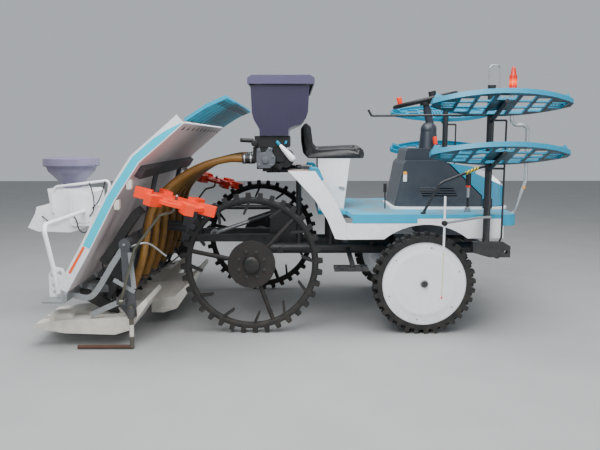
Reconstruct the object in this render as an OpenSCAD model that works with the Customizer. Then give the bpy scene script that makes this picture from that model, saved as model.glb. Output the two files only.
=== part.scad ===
// Six-row riding rice transplanter. Forward is +X, left is +Y, up is +Z, in millimetres.
// Side-view places are measured forward from the rear axle and up from the ground.

/* [Wheels] */
// Distance between the front and rear axles
wheelbase = 1090; // [1060:1:1110]
// Half of the track, from the centre plane to a wheel's middle
half_track = 600; // [595:1:605]
// Radius over the lugs of a rear wheel
rear_wheel_r = 450; // [445:1:452]
// Radius of the rubber-covered tube of a rear wheel
rear_tube_r = 21; // [18:1:22]
// Lugs round a rear wheel
rear_lugs = 36; // [24:1:40]
// Inward paddles round a rear wheel
rear_paddles = 12; // [6:1:14]
// Radius over the lugs of a front wheel
front_wheel_r = 325; // [320:1:326]
// Width of a front tyre
front_tyre_w = 96; // [80:1:98]
// Lugs round a front wheel
front_lugs = 32; // [24:1:36]
// Radius of the white disc on a front wheel
front_disc_r = 262; // [250:1:262]

/* [Chassis] */
// Half of the distance between the two frame pipes
rail_y = 190; // [186:1:196]
// Radius of a frame pipe
rail_r = 38; // [34:1:38]
// Height of the frame pipes
rail_z = 480; // [478:1:484]
// Half of the width of the step floor
deck_half_w = 560; // [555:1:562]
// Top of the step floor
deck_z = 756; // [750:1:758]
// Place of the rack posts ahead of the rear axle
post_x = 1482; // [1470:1:1490]
// Half of the width of the hood
hood_half_w = 250; // [235:1:260]
// Thickness of a moulded panel
panel_t = 6; // [5:1:8]

/* [Planting unit] */
// Distance between two planted rows
row_pitch = 300; // [296:1:304]
// Half of the width of the seedling platform
platform_half_w = 970; // [940:1:980]
// Reach of a planting claw from its axle
claw_reach = 146; // [138:1:148]
// Length of the lift links between their pins
link_l = 574; // [570:1:576]
// Height between the upper and the lower lift links
link_gap = 200; // [195:1:205]
// Radius of a line-marker rotor over its paddles
marker_r = 235; // [220:1:240]

/* [Hoppers and racks] */
// Half of the width of the fertiliser hopper
hopper_half_w = 550; // [500:1:560]
// Length of a spare seedling rack
rack_l = 880; // [840:1:900]
// Width of a spare seedling rack at its middle
rack_w = 345; // [320:1:360]
// Tilt of a spare seedling rack, its outer edge up
rack_tilt = 20; // [10:1:25]

/* [Hidden] */
$fn = 48;

// The rear axle's place, so that the whole machine is centred on the origin
rear_axle_x = -170;
// Clearance round a pin that turns, on the radius
pin_gap = 0.15;
// Gap between a piece and its seat
seat_gap = 0.2;
// Radius of the pins of the lift
pin_r = 12;
engine_z = 560;
meter_floor_z = 1041;

// Side-view points of the lift, each [forward, up]
lower_pin = [134, 545];
upper_pin = [lower_pin.x, lower_pin.y + link_gap];
hitch_low = [lower_pin.x - link_l, lower_pin.y];
hitch_up = [hitch_low.x, hitch_low.y + link_gap];
ram_pin = [222, 728];
ram_eye = [-315, 549];
link_y = 150;

// Side-view points of the steering
king_y = 490;
king_r = 16;
steer_arm_l = 130;
front_axle_z = front_wheel_r;
axle_tube_z = 400;
wheel_centre = [1194, 1503];
wheel_lean = 13;

// Planting unit, side view
beam = [-720, 622];
claw_axle = [-930, 250];
case_y = [-2 * row_pitch, 0, 2 * row_pitch];
platform_line = [[-1049, 355], [-916, 583], [-753, 888], [-608, 1103], [-490, 1203], [-350, 1324]];
// The bar that the platform leans on, behind its third stretch
guide_r = 18;
platform_half_t = 6;
guide_run = unit(platform_line[3] - platform_line[2]);
guide = platform_line[2] + 200 * guide_run
    + (platform_half_t + seat_gap + guide_r) * [guide_run.y, -guide_run.x];
extension_line = [[-340, 1333], [-215, 1412], [-102, 1462]];
// Half of the distance between the rack posts, and of that between the side marker poles
post_y = deck_half_w + 37;
pole_y = deck_half_w + 240;
// Turn of the first paddle of a rear ring, clear of the spokes
paddle_start = 2;
marker_pivot = [-740, 290];
marker_y = 940;
marker_hub = [-409, 877];
marker_lean = 15;
stand_x = -690;
stand_y = 925;

// Colours
dark = "#2a3038";
charcoal = "#3d4652";
turquoise = "#1fa9c0";
white_panel = "#e9ecf2";
silver = "#b9bec4";
grey_cast = "#8d9299";
black_rubber = "#1c1d1f";
orange = "#ff5a2c";
hopper_tint = "#6b6480";
float_white = "#e8e6dd";
tan_hose = "#9a7430";
zinc = "#9ba08e";

// Everything is placed from the rear axle
module placed() translate([rear_axle_x, 0, 0]) children();

// The same piece on both sides
module both_sides() {
    children();
    mirror([0, 1, 0]) children();
}

// A round bar between two points
module rod(p, q, r) {
    d = q - p;
    translate(p) rotate([0, acos(d.z / norm(d)), atan2(d.y, d.x)]) cylinder(h = norm(d), r = r);
}

function unit(v) = v / norm(v);

// A bend is this much fuller than its pipe, which reaches this far into it
bend_swell = 0.4;
bend_reach = 1.5;

// How far before a corner its bend starts
function bend_start(points, i, bend) =
    i <= 0 || i >= len(points) - 1 ? 0
    : bend * tan(acos(unit(points[i] - points[i - 1]) * unit(points[i + 1] - points[i])) / 2);

// A quarter-round elbow or less, from the straight before a corner to the one after it
module elbow(before, corner, after, r, bend) {
    d1 = unit(corner - before);
    d2 = unit(after - corner);
    turn = acos(d1 * d2);
    inward = unit(d2 - (d1 * d2) * d1);
    middle = corner - bend * tan(turn / 2) * d1 + bend * inward;
    ex = -inward;
    ez = cross(ex, d1);
    multmatrix([
        [ex.x, d1.x, ez.x, middle.x], [ex.y, d1.y, ez.y, middle.y], [ex.z, d1.z, ez.z, middle.z],
        [0, 0, 0, 1]])
        rotate_extrude(angle = turn) translate([bend, 0]) circle(r = r + bend_swell);
}

// A bent round bar or pipe along a line of corners
module bent_rod(points, r, bend) {
    for (i = [0 : len(points) - 2]) {
        d = unit(points[i + 1] - points[i]);
        start = bend_start(points, i, bend);
        finish = bend_start(points, i + 1, bend);
        rod(points[i] + (start == 0 ? 0 : start - bend_reach) * d,
            points[i + 1] - (finish == 0 ? 0 : finish - bend_reach) * d, r);
    }
    for (i = [1 : 1 : len(points) - 2]) elbow(points[i - 1], points[i], points[i + 1], r, bend);
}

// A plate with a side-view outline, from y to y + t
module side_plate(outline, y, t) {
    translate([0, y + t, 0]) rotate([90, 0, 0]) linear_extrude(t) polygon(outline);
}

// A side-view point at a distance across the machine
function at_y(p, y) = [p.x, y, p.y];

// Direction and leftward normal along a side-view line
function heading(line, i) =
    let (a = line[max(i - 1, 0)], b = line[min(i + 1, len(line) - 1)]) (b - a) / norm(b - a);
function shifted(line, d) =
    [for (i = [0 : len(line) - 1]) let (h = heading(line, i)) line[i] + d * [-h.y, h.x]];
function reversed(line) = [for (i = [len(line) - 1 : -1 : 0]) line[i]];

// A strip that follows a side-view line between two offsets
function strip(line, low, high) = concat(shifted(line, low), reversed(shifted(line, high)));

// A wheel outline with square lugs
function lug_ring(count, root, tip, share) =
    [for (i = [0 : count - 1], s = [0, 1, 2, 3])
        let (
            step = 360 / count,
            a = i * step + [0, share * 0.16, share * 0.84, share][s] * step,
            r = [root, tip, tip, root][s]
        ) r * [cos(a), sin(a)]];

// A disc across the machine, centred on a side-view point
module across(p, y, h, r) {
    translate([p.x, y + h / 2, p.y]) rotate([90, 0, 0]) cylinder(h = h, r = r);
}

module main_frame() color(dark) placed() difference() {
    union() {
        for (s = [-1, 1]) {
            rod([85, s * rail_y, rail_z], [1600, s * rail_y, rail_z], rail_r);
            // Ear plates that carry the lift links and the seat tower
            side_plate([[95, 440], [330, 440], [330, 700], [250, 760], [100, 775]],
                s * 95 - 6, 12);
            // Seat tower
            rod([520, s * rail_y, rail_z], [520, s * rail_y, deck_z - 26 - seat_gap], 22);
            rod([300, s * rail_y, rail_z], [300, s * rail_y, 1040], 18);
            // Saddle on the front axle tube
            translate([wheelbase - 30, s * rail_y - 30, axle_tube_z]) cube([60, 60, 60]);
            // Hopper tower
            rod([90, s * 330, 1024], [300, s * rail_y, 1020], 14);
            translate([60, s * 330 - 30, 1020]) cube([60, 60, meter_floor_z - seat_gap - 1020]);
            // Step arms
            rod([640, s * rail_y, rail_z], [640, s * 640, 430], 16);
            // Floor outriggers
            rod([800, s * rail_y, rail_z], [800, s * 500, deck_z - 40], 14);
        }
        // Cross members, each [forward, up, half width, radius]
        engine_bar_z = engine_z - seat_gap - 26;
        for (c = [[170, 470, 228, 24], [640, 480, 190, 26], [1240, engine_bar_z, 190, 26],
                  [1480, engine_bar_z, 190, 26], [1590, 480, 190, 30], [520, 700, 190, 16],
                  [300, 1020, 190, 16]])
            rod([c[0], -c[2], c[1]], [c[0], c[2], c[1]], c[3]);
        // Steps beside the floor
        both_sides() for (k = [0 : 4])
            translate([520 + k * 46, 560, 414]) cube([30, 120, 14]);
        both_sides() for (y = [572, 662])
            translate([520, y - 6, 410]) cube([214, 12, 24]);
        // Pins that the lift turns on
        across(lower_pin, 0, 2 * link_y + 36, pin_r);
        across(ram_pin, 0, 214, pin_r);
        across(upper_pin, -42, 130, pin_r);
    }
    across([wheelbase, axle_tube_z], 0, 1000, 36);
}

module engine_block() color(grey_cast) placed()
    translate([1150, -140, engine_z]) cube([400, 280, 240]);

module front_axle_case() color(dark) placed() difference() {
    union() {
        translate([wheelbase - 80, -140, 320]) cube([190, 280, 200]);
        across([wheelbase, axle_tube_z], 0, 2 * king_y, 35.9);
        for (s = [-1, 1])
            translate([wheelbase, s * king_y, 355]) cylinder(h = 90, r = 48);
    }
    for (s = [-1, 1])
        translate([wheelbase, s * king_y, 300]) cylinder(h = 200, r = king_r + pin_gap);
}

module rear_axle_case() color(dark) placed() {
    translate([-95, -170, 370]) cube([180, 340, 142]);
    across([0, rear_wheel_r], 0, 900, 48);
    for (s = [-1, 1]) {
        across([0, rear_wheel_r], s * 470, 70, 88);
        across([0, rear_wheel_r], s * 580, 150, 22);
    }
}

// The shaped outline of the step floor
deck_outline = [
    [430, -330], [616, -330], [640, -deck_half_w], [1640, -deck_half_w], [1676, 24 - deck_half_w],
    [1694, 60 - deck_half_w], [1696, 0], [1694, deck_half_w - 60], [1676, deck_half_w - 24],
    [1640, deck_half_w], [640, deck_half_w], [616, 330], [430, 330]];
// A wall round the floor's front corners, this far round and this thick
module nose_wall(bottom, height, reach, wall) {
    both_sides() translate([0, 0, bottom]) linear_extrude(height) polygon([
        [1600, deck_half_w], [1640, deck_half_w], [1676, deck_half_w - 24], [1694, deck_half_w - 60],
        [1694.6, reach], [1694.6 - wall, reach], [1694 - wall, deck_half_w - 63],
        [1671 - 0.5 * wall, deck_half_w - 28 - 0.4 * wall], [1638, deck_half_w - wall],
        [1600, deck_half_w - wall]]);
}

module floor_deck() color(turquoise) placed() difference() {
    union() {
        translate([0, 0, deck_z - 26]) linear_extrude(26) polygon(deck_outline);
        both_sides() side_plate([[640, 700], [1052, 700], [1052, 731], [640, 731]],
            deck_half_w - 12, 12);
        nose_wall(684, 48, 420, 12);
    }
    translate([1130, -160, 600]) cube([440, 320, 300]);
    // Room for the steering column's foot
    translate([1040, -60, 600]) cube([60, 120, 300]);
}

// Top of the skirts where the floor's own edge comes down over them
skirt_nose_z = 683.8;
// The wheel arch as one circle
arch_centre = [1113, 258];
arch_r = 433;

module side_skirts() color(white_panel) placed() difference() {
    both_sides() {
        side_plate([[600, 595], [1610, 604], [1610, skirt_nose_z], [1598, skirt_nose_z], [1598, 729.8],
            [1053, 729.8], [1053, 699], [600, 699]], deck_half_w - 14, 13);
    }
    nose_wall(604, skirt_nose_z - 604, 420, 12);
    across(arch_centre, 0, 1300, arch_r);
}

fender_outline = [
    [228, 1034], [403, 1031], [470, 926], [526, 853], [575, 748], [599, 700], [599, 594],
    [530, 600], [478, 726], [399, 852], [257, 1006]];

module rear_fenders() color(white_panel) placed() both_sides() {
    side_plate(fender_outline, deck_half_w - 8, 8);
    side_plate([[228, 1034], [403, 1031], [398, 1024], [238, 1026]], 340, deck_half_w - 348);
    side_plate([[403, 1031], [470, 926], [526, 853], [575, 748], [599, 700], [592, 698], [569, 744],
        [519, 849], [463, 922], [398, 1024]], 340, deck_half_w - 348);
}

// Seen from above, hood and bonnet share one rounded outline, drawn in by an inset
hood_middle = 1335;
hood_half_l = 390;
function rounded(c, corner) = sign(c) * pow(abs(c), corner);
function hood_plan(inset) = [for (a = [0 : 7.5 : 352.5]) [
    hood_middle + (hood_half_l - inset) * rounded(cos(a), 0.28),
    (hood_half_w - inset) * rounded(sin(a), 0.22)]];
module plan_walls(inset) translate([0, 0, 700]) linear_extrude(500) polygon(hood_plan(inset));

hood_outline = [
    [957, 773], [1549, 773], [1546, 845], [1316, 1062], [1250, 1085], [1028, 1085], [1012, 1060]];
hood_inside = [
    [971, 750], [1700, 750], [1700, 845], [1400, 1062], [1314, 1054], [1246, 1078], [1033, 1078],
    [1019, 1058]];

// White flange that the hood stands on
module hood_base() color(white_panel) placed() difference() {
    translate([0, 0, deck_z]) linear_extrude(hood_foot) polygon(hood_plan(-14));
    translate([0, 0, deck_z - 1]) linear_extrude(hood_foot + 2) polygon(hood_plan(panel_t + 8));
}
hood_foot = 773 - deck_z - seat_gap;

module hood() color(charcoal) placed() difference() {
    union() {
        intersection() {
            side_plate(hood_outline, -hood_half_w, 2 * hood_half_w);
            plan_walls(0);
        }
        // Instrument pod
        side_plate([[1024, 1060], [1040, 1150], [1052, 1167], [1294, 1167], [1306, 1154], [1313, 1064]],
            -175, 350);
    }
    intersection() {
        side_plate(hood_inside, panel_t - hood_half_w, 2 * (hood_half_w - panel_t));
        plan_walls(panel_t);
    }
    side_plate([[1032, 1040], [1047, 1148], [1056, 1160], [1290, 1160], [1299, 1150], [1306, 1040]],
        -168, 336);
    // Louvres in both sides
    both_sides() for (k = [0 : 3])
        translate([1115 + k * 8, hood_half_w - 20, 894 - k * 17]) cube([240, 40, 8]);
    column_lever(7 + pin_gap);
}

// Rod of the lever beside the steering column, through the top of the hood
module column_lever(r) {
    rod([1266, -90, 1130], [1256, -90, 1200], r);
}

bonnet_outline = [
    [1553, 778], [1723, 778], [1721, 880], [1690, 925], [1600, 1000], [1471, 1046], [1322, 1068],
    [1551, 848]];
bonnet_inside = [
    [1556, 760], [1716, 760], [1714, 878], [1684, 920], [1596, 993], [1468, 1038], [1350, 1056],
    [1556, 856]];

module bonnet() color(turquoise) placed() difference() {
    intersection() {
        side_plate(bonnet_outline, -hood_half_w, 2 * hood_half_w);
        plan_walls(0);
    }
    intersection() {
        side_plate(bonnet_inside, panel_t - hood_half_w, 2 * (hood_half_w - panel_t));
        plan_walls(panel_t);
    }
    for (s = [-1, 1]) lamp_body(s, 0.3);
}

// A wedge lamp at the nose's upper corner
module lamp_body(side, gap) {
    translate([0, side * 168, 0])
        side_plate([[1500 - gap, 1060], [1740 + gap, 960], [1740 + gap, 895 - gap],
            [1500 - gap, 1000 - gap]], -88 - gap, 176 + 2 * gap);
}

module headlamps() color("#dfe6ea") placed() intersection() {
    for (s = [-1, 1]) lamp_body(s, 0);
    difference() {
        intersection() {
            side_plate(bonnet_outline, -hood_half_w, 2 * hood_half_w);
            plan_walls(0);
        }
        side_plate([[1480, 800], [1690, 800], [1690, 886], [1480, 990]], -300, 600);
    }
}

// Axis of the steering column, pointing up
column_axis = [-sin(wheel_lean), 0, cos(wheel_lean)];

module steering_column() color(charcoal) placed() {
    hub = at_y(wheel_centre, 0);
    translate([1224, 0, 1167 + seat_gap]) cylinder(h = 136, r1 = 68, r2 = 54);
    translate([1224, 0, 1296]) sphere(r = 57);
    rod(hub - 212 * column_axis, hub - 60 * column_axis, 28);
    rod(hub - 84 * column_axis, hub - (33 + seat_gap) * column_axis, 22);
}

module steering_wheel() color(black_rubber) placed()
    translate(at_y(wheel_centre, 0)) rotate([0, -wheel_lean, 0]) {
        rotate_extrude() translate([216, 0]) circle(r = 14);
        translate([0, 0, -33]) cylinder(h = 40, r = 40);
        for (a = [60, 180, 300]) rotate(a) translate([30, -14, -16]) cube([176, 28, 12]);
        translate([-150, 158, 10]) cylinder(h = 34, r = 17);
        rotate(300) translate([85, 0, -6]) cylinder(h = 54, r = 26);
    }

module levers() color(dark) placed() {
    // Gear lever on the floor
    rod([895, -200, deck_z + 2 * seat_gap], [893, -200, 880], 5);
    translate([893, -200, 868]) cylinder(h = 60, r = 11);
    // Lever with a boot beside the hood
    rod([1412, -400, deck_z + seat_gap], [1412, -400, 1010], 8);
    translate([1412, -400, 930]) cylinder(h = 55, r = 15);
    // Upper lever beside the column
    column_lever(7);
    rod([1256.7, -90, 1195], [1250, -90, 1248], 13);
}

module seat_base() color(white_panel) placed() difference() {
    side_plate([[434, deck_z], [609, deck_z], [650, 1100], [432, 1100]], -205, 410);
    side_plate([[442, deck_z - 5], [601, deck_z - 5], [641, 1092], [440, 1092]], -197, 394);
}

module seat() color(black_rubber) placed() {
    side_plate([[364, 1100 + seat_gap], [742, 1100 + seat_gap], [756, 1120], [750, 1165],
        [720, 1184], [420, 1172], [392, 1200], [374, 1338], [366, 1350], [346, 1350],
        [320, 1322], [324, 1210], [340, 1120]], -215, 430);
}

hopper_outline = [
    [-2, 1563], [364, 1563], [356, 1400], [344, 1362], [312, 1330], [240, 1300], [232, 1288],
    [232, 1252], [52, 1252], [52, 1290], [44, 1306], [18, 1350], [6, 1392]];
hopper_inside = [
    [4, 1570], [358, 1570], [350, 1402], [338, 1365], [308, 1335], [236, 1305], [226, 1291],
    [226, 1258], [58, 1258], [58, 1292], [50, 1308], [24, 1352], [12, 1393]];

module fertiliser_hopper() color(hopper_tint) placed() difference() {
    side_plate(hopper_outline, -hopper_half_w, 2 * hopper_half_w);
    side_plate(hopper_inside, panel_t - hopper_half_w, 2 * (hopper_half_w - panel_t));
}

module hopper_lid() color(hopper_tint) placed() difference() {
    side_plate([[-20, 1569], [396, 1569], [396, 1606], [370, 1625], [6, 1625], [-20, 1606]],
        -hopper_half_w - 18, 2 * hopper_half_w + 36);
    side_plate([[-12, 1560], [388, 1560], [388, 1603], [366, 1617], [10, 1617], [-12, 1603]],
        -hopper_half_w - 10, 2 * hopper_half_w + 20);
}

// Ends of the outlet cuffs, side view
cuff_end = [-62, 1105];
// Places of the six rows across the machine
rows = [for (k = [-2.5 : 1 : 2.5]) k * row_pitch];
// The hose outlets sit closer together than the rows
outlets = [for (k = [-2.5 : 1 : 2.5]) k * 190];

module metering_unit() color(dark) placed() {
    translate([20, -hopper_half_w + 20, 1180]) cube([220, 2 * hopper_half_w - 40, 71.5]);
    for (y = outlets) {
        translate([10, y - 50, 1090]) cube([200, 100, 92]);
        rod([cuff_end.x, y, cuff_end.y], [20, y, cuff_end.y], 30);
    }
    // Air duct that joins the outlets, and its blower
    rod([218, -hopper_half_w + 40, 1100], [218, hopper_half_w - 40, 1100], 48);
    translate([30, -hopper_half_w + 60, meter_floor_z])
        cube([120, 2 * hopper_half_w - 120, 60]);
    rod([120, -470, 1092], [190, -470, 1048], 38);
}

// Route of one hose from its outlet down to its row, chosen by hand
function hose_route(a, b) = [
    [cuff_end.x - seat_gap, a, cuff_end.y], [-150, a, cuff_end.y], [-270, a + 0.12 * (b - a), 1078],
    [-390, a + 0.26 * (b - a), 1026], [-500, a + 0.42 * (b - a), 948], [-590, a + 0.6 * (b - a), 846],
    [-634, a + 0.78 * (b - a), 720], [-646, a + 0.9 * (b - a), 610], [-662, b, 510], at_y(hose_last, b),
    [hose_end.x, b, hose_end.y]];
hose_end = [-725, 330];
hose_last = [-690, 420];
hose_run = unit(hose_end - hose_last);
hose_rows = [for (y = rows) y * 0.94];
hose_r = 23;
hose_sides = 8;

// A tube with flat rings along the route, each ring square to the route in side view
module swept_tube(route, r) {
    n = len(route);
    rings = [for (i = [0 : n - 1])
        let (
            t = route[min(i + 1, n - 1)] - route[max(i - 1, 0)],
            u = t / norm(t),
            side = cross([0, 0, 1], u) / norm(cross([0, 0, 1], u)),
            up = cross(u, side)
        )
        for (k = [0 : hose_sides - 1])
            route[i] + r * (cos(k * 360 / hose_sides) * side + sin(k * 360 / hose_sides) * up)];
    walls = [for (i = [0 : n - 2], k = [0 : hose_sides - 1])
        let (a = i * hose_sides + k, b = i * hose_sides + (k + 1) % hose_sides)
        [a, a + hose_sides, b + hose_sides, b]];
    start = [for (k = [0 : hose_sides - 1]) k];
    finish = [for (k = [hose_sides - 1 : -1 : 0]) (n - 1) * hose_sides + k];
    polyhedron(points = rings, faces = concat(walls, [start, finish]), convexity = 4);
}

module hoses() color(tan_hose) placed()
    for (i = [0 : 5]) swept_tube(hose_route(outlets[i], hose_rows[i]), hose_r);

// Tie-down holes through the foot blocks
tie_hole = [1606, 524];
tie_hole_r = 12;

// Middle of the racks across the machine, and the undersides' heights there
rack_y = 806;
rack_heights = [1132, 1428];
rack_arm_r = 14;
thin_y = post_y + 25;
// Height of an arm's axis under a rack
function under_rack(y, z) =
    z + (y - rack_y) * tan(rack_tilt) - (rack_arm_r + seat_gap) / cos(rack_tilt);

module rack_posts() color(dark) placed() both_sides() {
    rod([post_x, post_y, 560], [post_x, post_y, 1545], 22);
    translate([post_x, post_y, 1545]) cylinder(h = 14, r = 25);
    // Foot block under the floor
    difference() {
        side_plate([[1396, 588], [1590, 588], [1634, 560], [1634, 490], [1500, 490], [1396, 520]],
            575, 44);
        across(tie_hole, 597, 80, tie_hole_r);
    }
    rod([1560, rail_y + rail_r + seat_gap, 500], [1560, 590, 500], 24);
    // Diagonal brace
    translate([1096, 520, deck_z + seat_gap]) cylinder(h = 10, r = 17);
    bent_rod([[1096, 520, deck_z + 6], [1196, 540, 954], [1450, 560, 1060], [post_x, 590, 1062]], 9, 60);
    // Short arms under each pair of racks
    for (z = rack_heights) {
        rod([post_x, post_y, under_rack(post_y, z)], [post_x, 900, under_rack(900, z)], rack_arm_r);
        rod([post_x, post_y, under_rack(thin_y, z)], [1573, thin_y, under_rack(thin_y, z)], 7);
    }
    // Thin rod ahead of the post, down to the foot block
    bent_rod([[1573, thin_y, under_rack(thin_y, rack_heights[1])], [1571, thin_y, 620],
        [1560, 600, 570]], 6, 30);
    // Collar on the post
    translate([post_x, post_y, 800]) cylinder(h = 60, r = 30);
}

// Front guide bar folded back along the right side, with its upturned end
module guide_bar() color(dark) placed() {
    bar_y = -post_y - 22 - 7 - seat_gap;
    bent_rod([[1520, bar_y, 1378], [742, bar_y, 1373], [722, bar_y, 1409]], 7, 14);
}

// Radius of a rack's two long edges
rack_bow = (rack_l * rack_l / 4 + rack_w * rack_w / 4) / rack_w;

// Half of a rack's width at a distance from its middle
function rack_half(x) = sqrt(rack_bow * rack_bow - x * x) - rack_bow + rack_w / 2;

// The outline of a rack, drawn in by the width of its rim or by nothing
module rack_outline(rim) {
    intersection() {
        translate([0, rack_w / 2 - rack_bow]) circle(r = rack_bow - rim, $fn = 96);
        translate([0, rack_bow - rack_w / 2]) circle(r = rack_bow - rim, $fn = 96);
        square([rack_l - 60 - 2 * rim, rack_w], center = true);
    }
}

// One spare seedling rack: a boat-shaped tray with a rim, slots in rows and upturned ends
module seedling_rack() {
    difference() {
        linear_extrude(30) rack_outline(0);
        translate([0, 0, 12]) linear_extrude(40) rack_outline(12);
        // Slots, as columns along and rows across
        for (x = [-320, -220, -120, 120, 220, 320], j = [-1, 0, 1]) {
            pitch = 2 * (rack_half(abs(x) + 40) - 16) / 3;
            translate([x, j * pitch, 0]) cube([80, pitch - 14, 80], center = true);
        }
        for (j = [-1, 1]) translate([0, j * 108, 0]) cube([110, 60, 80], center = true);
    }
    // Raised grid at the middle
    for (k = [-2 : 2]) translate([k * 26 - 4, -70, 11]) cube([8, 140, 14]);
    // Upturned ends
    for (s = [-1, 1])
        translate([s * (rack_l / 2 - 58), 0, 0]) rotate([0, -s * 22, 0])
            translate([-28, -24, 0]) cube([56, 48, 58]);
}

module seedling_racks() color(turquoise) placed() both_sides()
    for (z = rack_heights)
        translate([post_x, rack_y, z]) rotate([rack_tilt, 0, 0]) seedling_rack();

module front_rail() color(silver) placed() {
    bent_rod([[1690, 0, 690], [1853, 0, 690], [1932, 0, 930], [1930, 0, 1330], [1812, 0, 1330],
        [1812, 0, 1560]], 13, 45);
    // Wire hoop beside the beacon
    rod([1806, 0, 1420], [1630, 0, 1420], 6);
    bent_rod([[1640, 0, 1422], [1642, 0, 1745], [1716, 0, 1745], [1718, 0, 1422]], 4.5, 26);
    // Bracket from the front cross member
    translate([1680, -60, 640]) cube([16, 120, 88]);
    for (y = [-60, 48])
        side_plate([[1620 + seat_gap, 455], [1650, 455], [1696, 640], [1696, 728], [1676, 728],
            [1620 + seat_gap, 520]], y, 12);
}

module beacon() color(orange) placed() translate([1812, 0, 1560]) {
    cylinder(h = 24, r = 30);
    translate([0, 0, 24]) cylinder(h = 90, r = 27);
    translate([0, 0, 114]) cylinder(h = 48, r1 = 22, r2 = 14);
    translate([0, 0, 162]) sphere(r = 14);
}

module side_markers() color(white_panel) placed() both_sides() {
    arm_y = post_y + 22 + 8 + seat_gap;
    bent_rod([[1500, arm_y, 748], [1430, arm_y, 745], [1168, pole_y, 733]], 8, 30);
    rod([1168, pole_y + 2, 560], [1168, pole_y + 2, 895], 6.5);
    rod([1168, pole_y + 2, 568], [1164, pole_y + 2, 275], 2.5);
    translate([1164, pole_y + 2, 275]) sphere(r = 7);
}

// Knuckle on one side, modelled for the left
module knuckle() {
    translate([wheelbase, king_y, 300]) cylinder(h = 165, r = king_r);
    translate([wheelbase, king_y, 446]) cylinder(h = 20, r = 38);
    translate([wheelbase, king_y, 262]) cylinder(h = 92, r = 46);
    across([wheelbase, front_axle_z], (king_y + 655) / 2, 655 - king_y, 20);
    across([wheelbase, front_axle_z], 548, 12, 40);
    translate([wheelbase - steer_arm_l - 16, king_y - 26, 330]) cube([steer_arm_l, 28, 16]);
}

module knuckle_left() color(dark) placed() knuckle();
module knuckle_right() color(dark) placed() mirror([0, 1, 0]) knuckle();

module track_rod() color(silver) placed()
    rod([wheelbase - steer_arm_l, 12 - king_y, 360], [wheelbase - steer_arm_l, king_y - 12, 360], 11);

module front_tyre(side) {
    translate([wheelbase, side * half_track, front_axle_z]) rotate([90, 0, 0])
        difference() {
            union() {
                // Two rows of lugs, half a step apart
                linear_extrude(front_tyre_w / 2)
                    polygon(lug_ring(front_lugs, 296, front_wheel_r, 0.56));
                rotate([0, 0, 180 / front_lugs]) translate([0, 0, -front_tyre_w / 2])
                    linear_extrude(front_tyre_w / 2)
                        polygon(lug_ring(front_lugs, 296, front_wheel_r, 0.56));
                cylinder(h = front_tyre_w - 12, r = 300, center = true);
            }
            cylinder(h = 200, r = front_disc_r + 4, center = true);
        }
}

// Dished disc with a rim that carries the tyre, and a hub with a bore
module front_disc(side) {
    translate([wheelbase, side * half_track, front_axle_z]) rotate([side * -90, 0, 0])
        rotate_extrude() polygon([
            [20 + pin_gap, -40], [60, -40], [60, 26], [120, 30], [190, 34], [215, 30],
            [front_disc_r - 6, 30], [front_disc_r - 6, -34], [front_disc_r + 4, -34],
            [front_disc_r + 4, 40], [222, 42], [196, 46], [120, 42], [30, 38],
            [20 + pin_gap, 38]]);
}

module front_tyre_left() color(black_rubber) placed() front_tyre(1);
module front_tyre_right() color(black_rubber) placed() front_tyre(-1);
module front_disc_left() color(white_panel) placed() front_disc(1);
module front_disc_right() color(white_panel) placed() front_disc(-1);

ring_r = 402;

module rear_ring(side) {
    translate([0, side * half_track, rear_wheel_r]) rotate([90, 0, 0]) {
        difference() {
            union() {
                translate([0, 0, -22]) linear_extrude(44)
                    polygon(lug_ring(rear_lugs, ring_r + 12, rear_wheel_r, 0.5));
                rotate_extrude() translate([ring_r, 0]) circle(r = rear_tube_r);
            }
            difference() {
                cylinder(h = 100, r = ring_r, center = true);
                rotate_extrude() translate([ring_r, 0]) circle(r = rear_tube_r);
            }
        }
        // Swept-back paddles on the inside of the ring
        for (k = [0 : rear_paddles - 1]) rotate(paddle_start + k * 360 / rear_paddles)
            translate([ring_r - 12, 0, -19]) linear_extrude(38)
                polygon([[0, -9], [0, 9], [-66, 40], [-76, 40], [-76, 30]]);
    }
}

module rear_hub(side) {
    translate([0, side * half_track, rear_wheel_r]) rotate([90, 0, 0]) difference() {
        union() {
            cylinder(h = 60, r = 46, center = true);
            translate([0, 0, -side * 30]) cylinder(h = 16, r = 150, center = true);
            for (a = [47, 168, 290]) rotate(a) rotate([0, 90, 0])
                translate([0, 0, 40]) cylinder(h = ring_r - 40, r = 14);
        }
        cylinder(h = 200, r = 22 + pin_gap, center = true);
        rotate_extrude() translate([ring_r, 0]) circle(r = rear_tube_r);
    }
}

module rear_ring_left() color(black_rubber) placed() rear_ring(1);
module rear_ring_right() color(black_rubber) placed() rear_ring(-1);
module rear_hub_left() color(dark) placed() rear_hub(1);
module rear_hub_right() color(dark) placed() rear_hub(-1);

module lower_links() color(dark) placed() difference() {
    union() {
        for (s = [-1, 1]) {
            side_plate([lower_pin + [26, -26], lower_pin + [26, 26], hitch_low + [-26, 26],
                hitch_low + [-26, -26]], s * link_y - 12, 24);
            across(lower_pin, s * 133, 34, 26);
        }
        rod(at_y(ram_eye, -link_y), at_y(ram_eye, link_y), cross_bar_r);
    }
    for (p = [lower_pin, hitch_low]) across(p, 0, 400, pin_r + pin_gap);
}

module upper_link() color(dark) placed() difference() {
    union() {
        rod(at_y(upper_pin, 0), at_y(hitch_up, 0), 17);
        for (p = [upper_pin, hitch_up]) across(p, 0, 44, 26);
    }
    for (p = [upper_pin, hitch_up]) across(p, 0, 100, pin_r + pin_gap);
}

// Lift cylinder, pulling from the ear plates to the links' cross bar
ram_line = (ram_eye - ram_pin) / norm(ram_eye - ram_pin);
cross_bar_r = 14;
eye_slot = [-2.3, -9];
eye_slot_r = cross_bar_r + pin_gap + 0.4;

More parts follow.
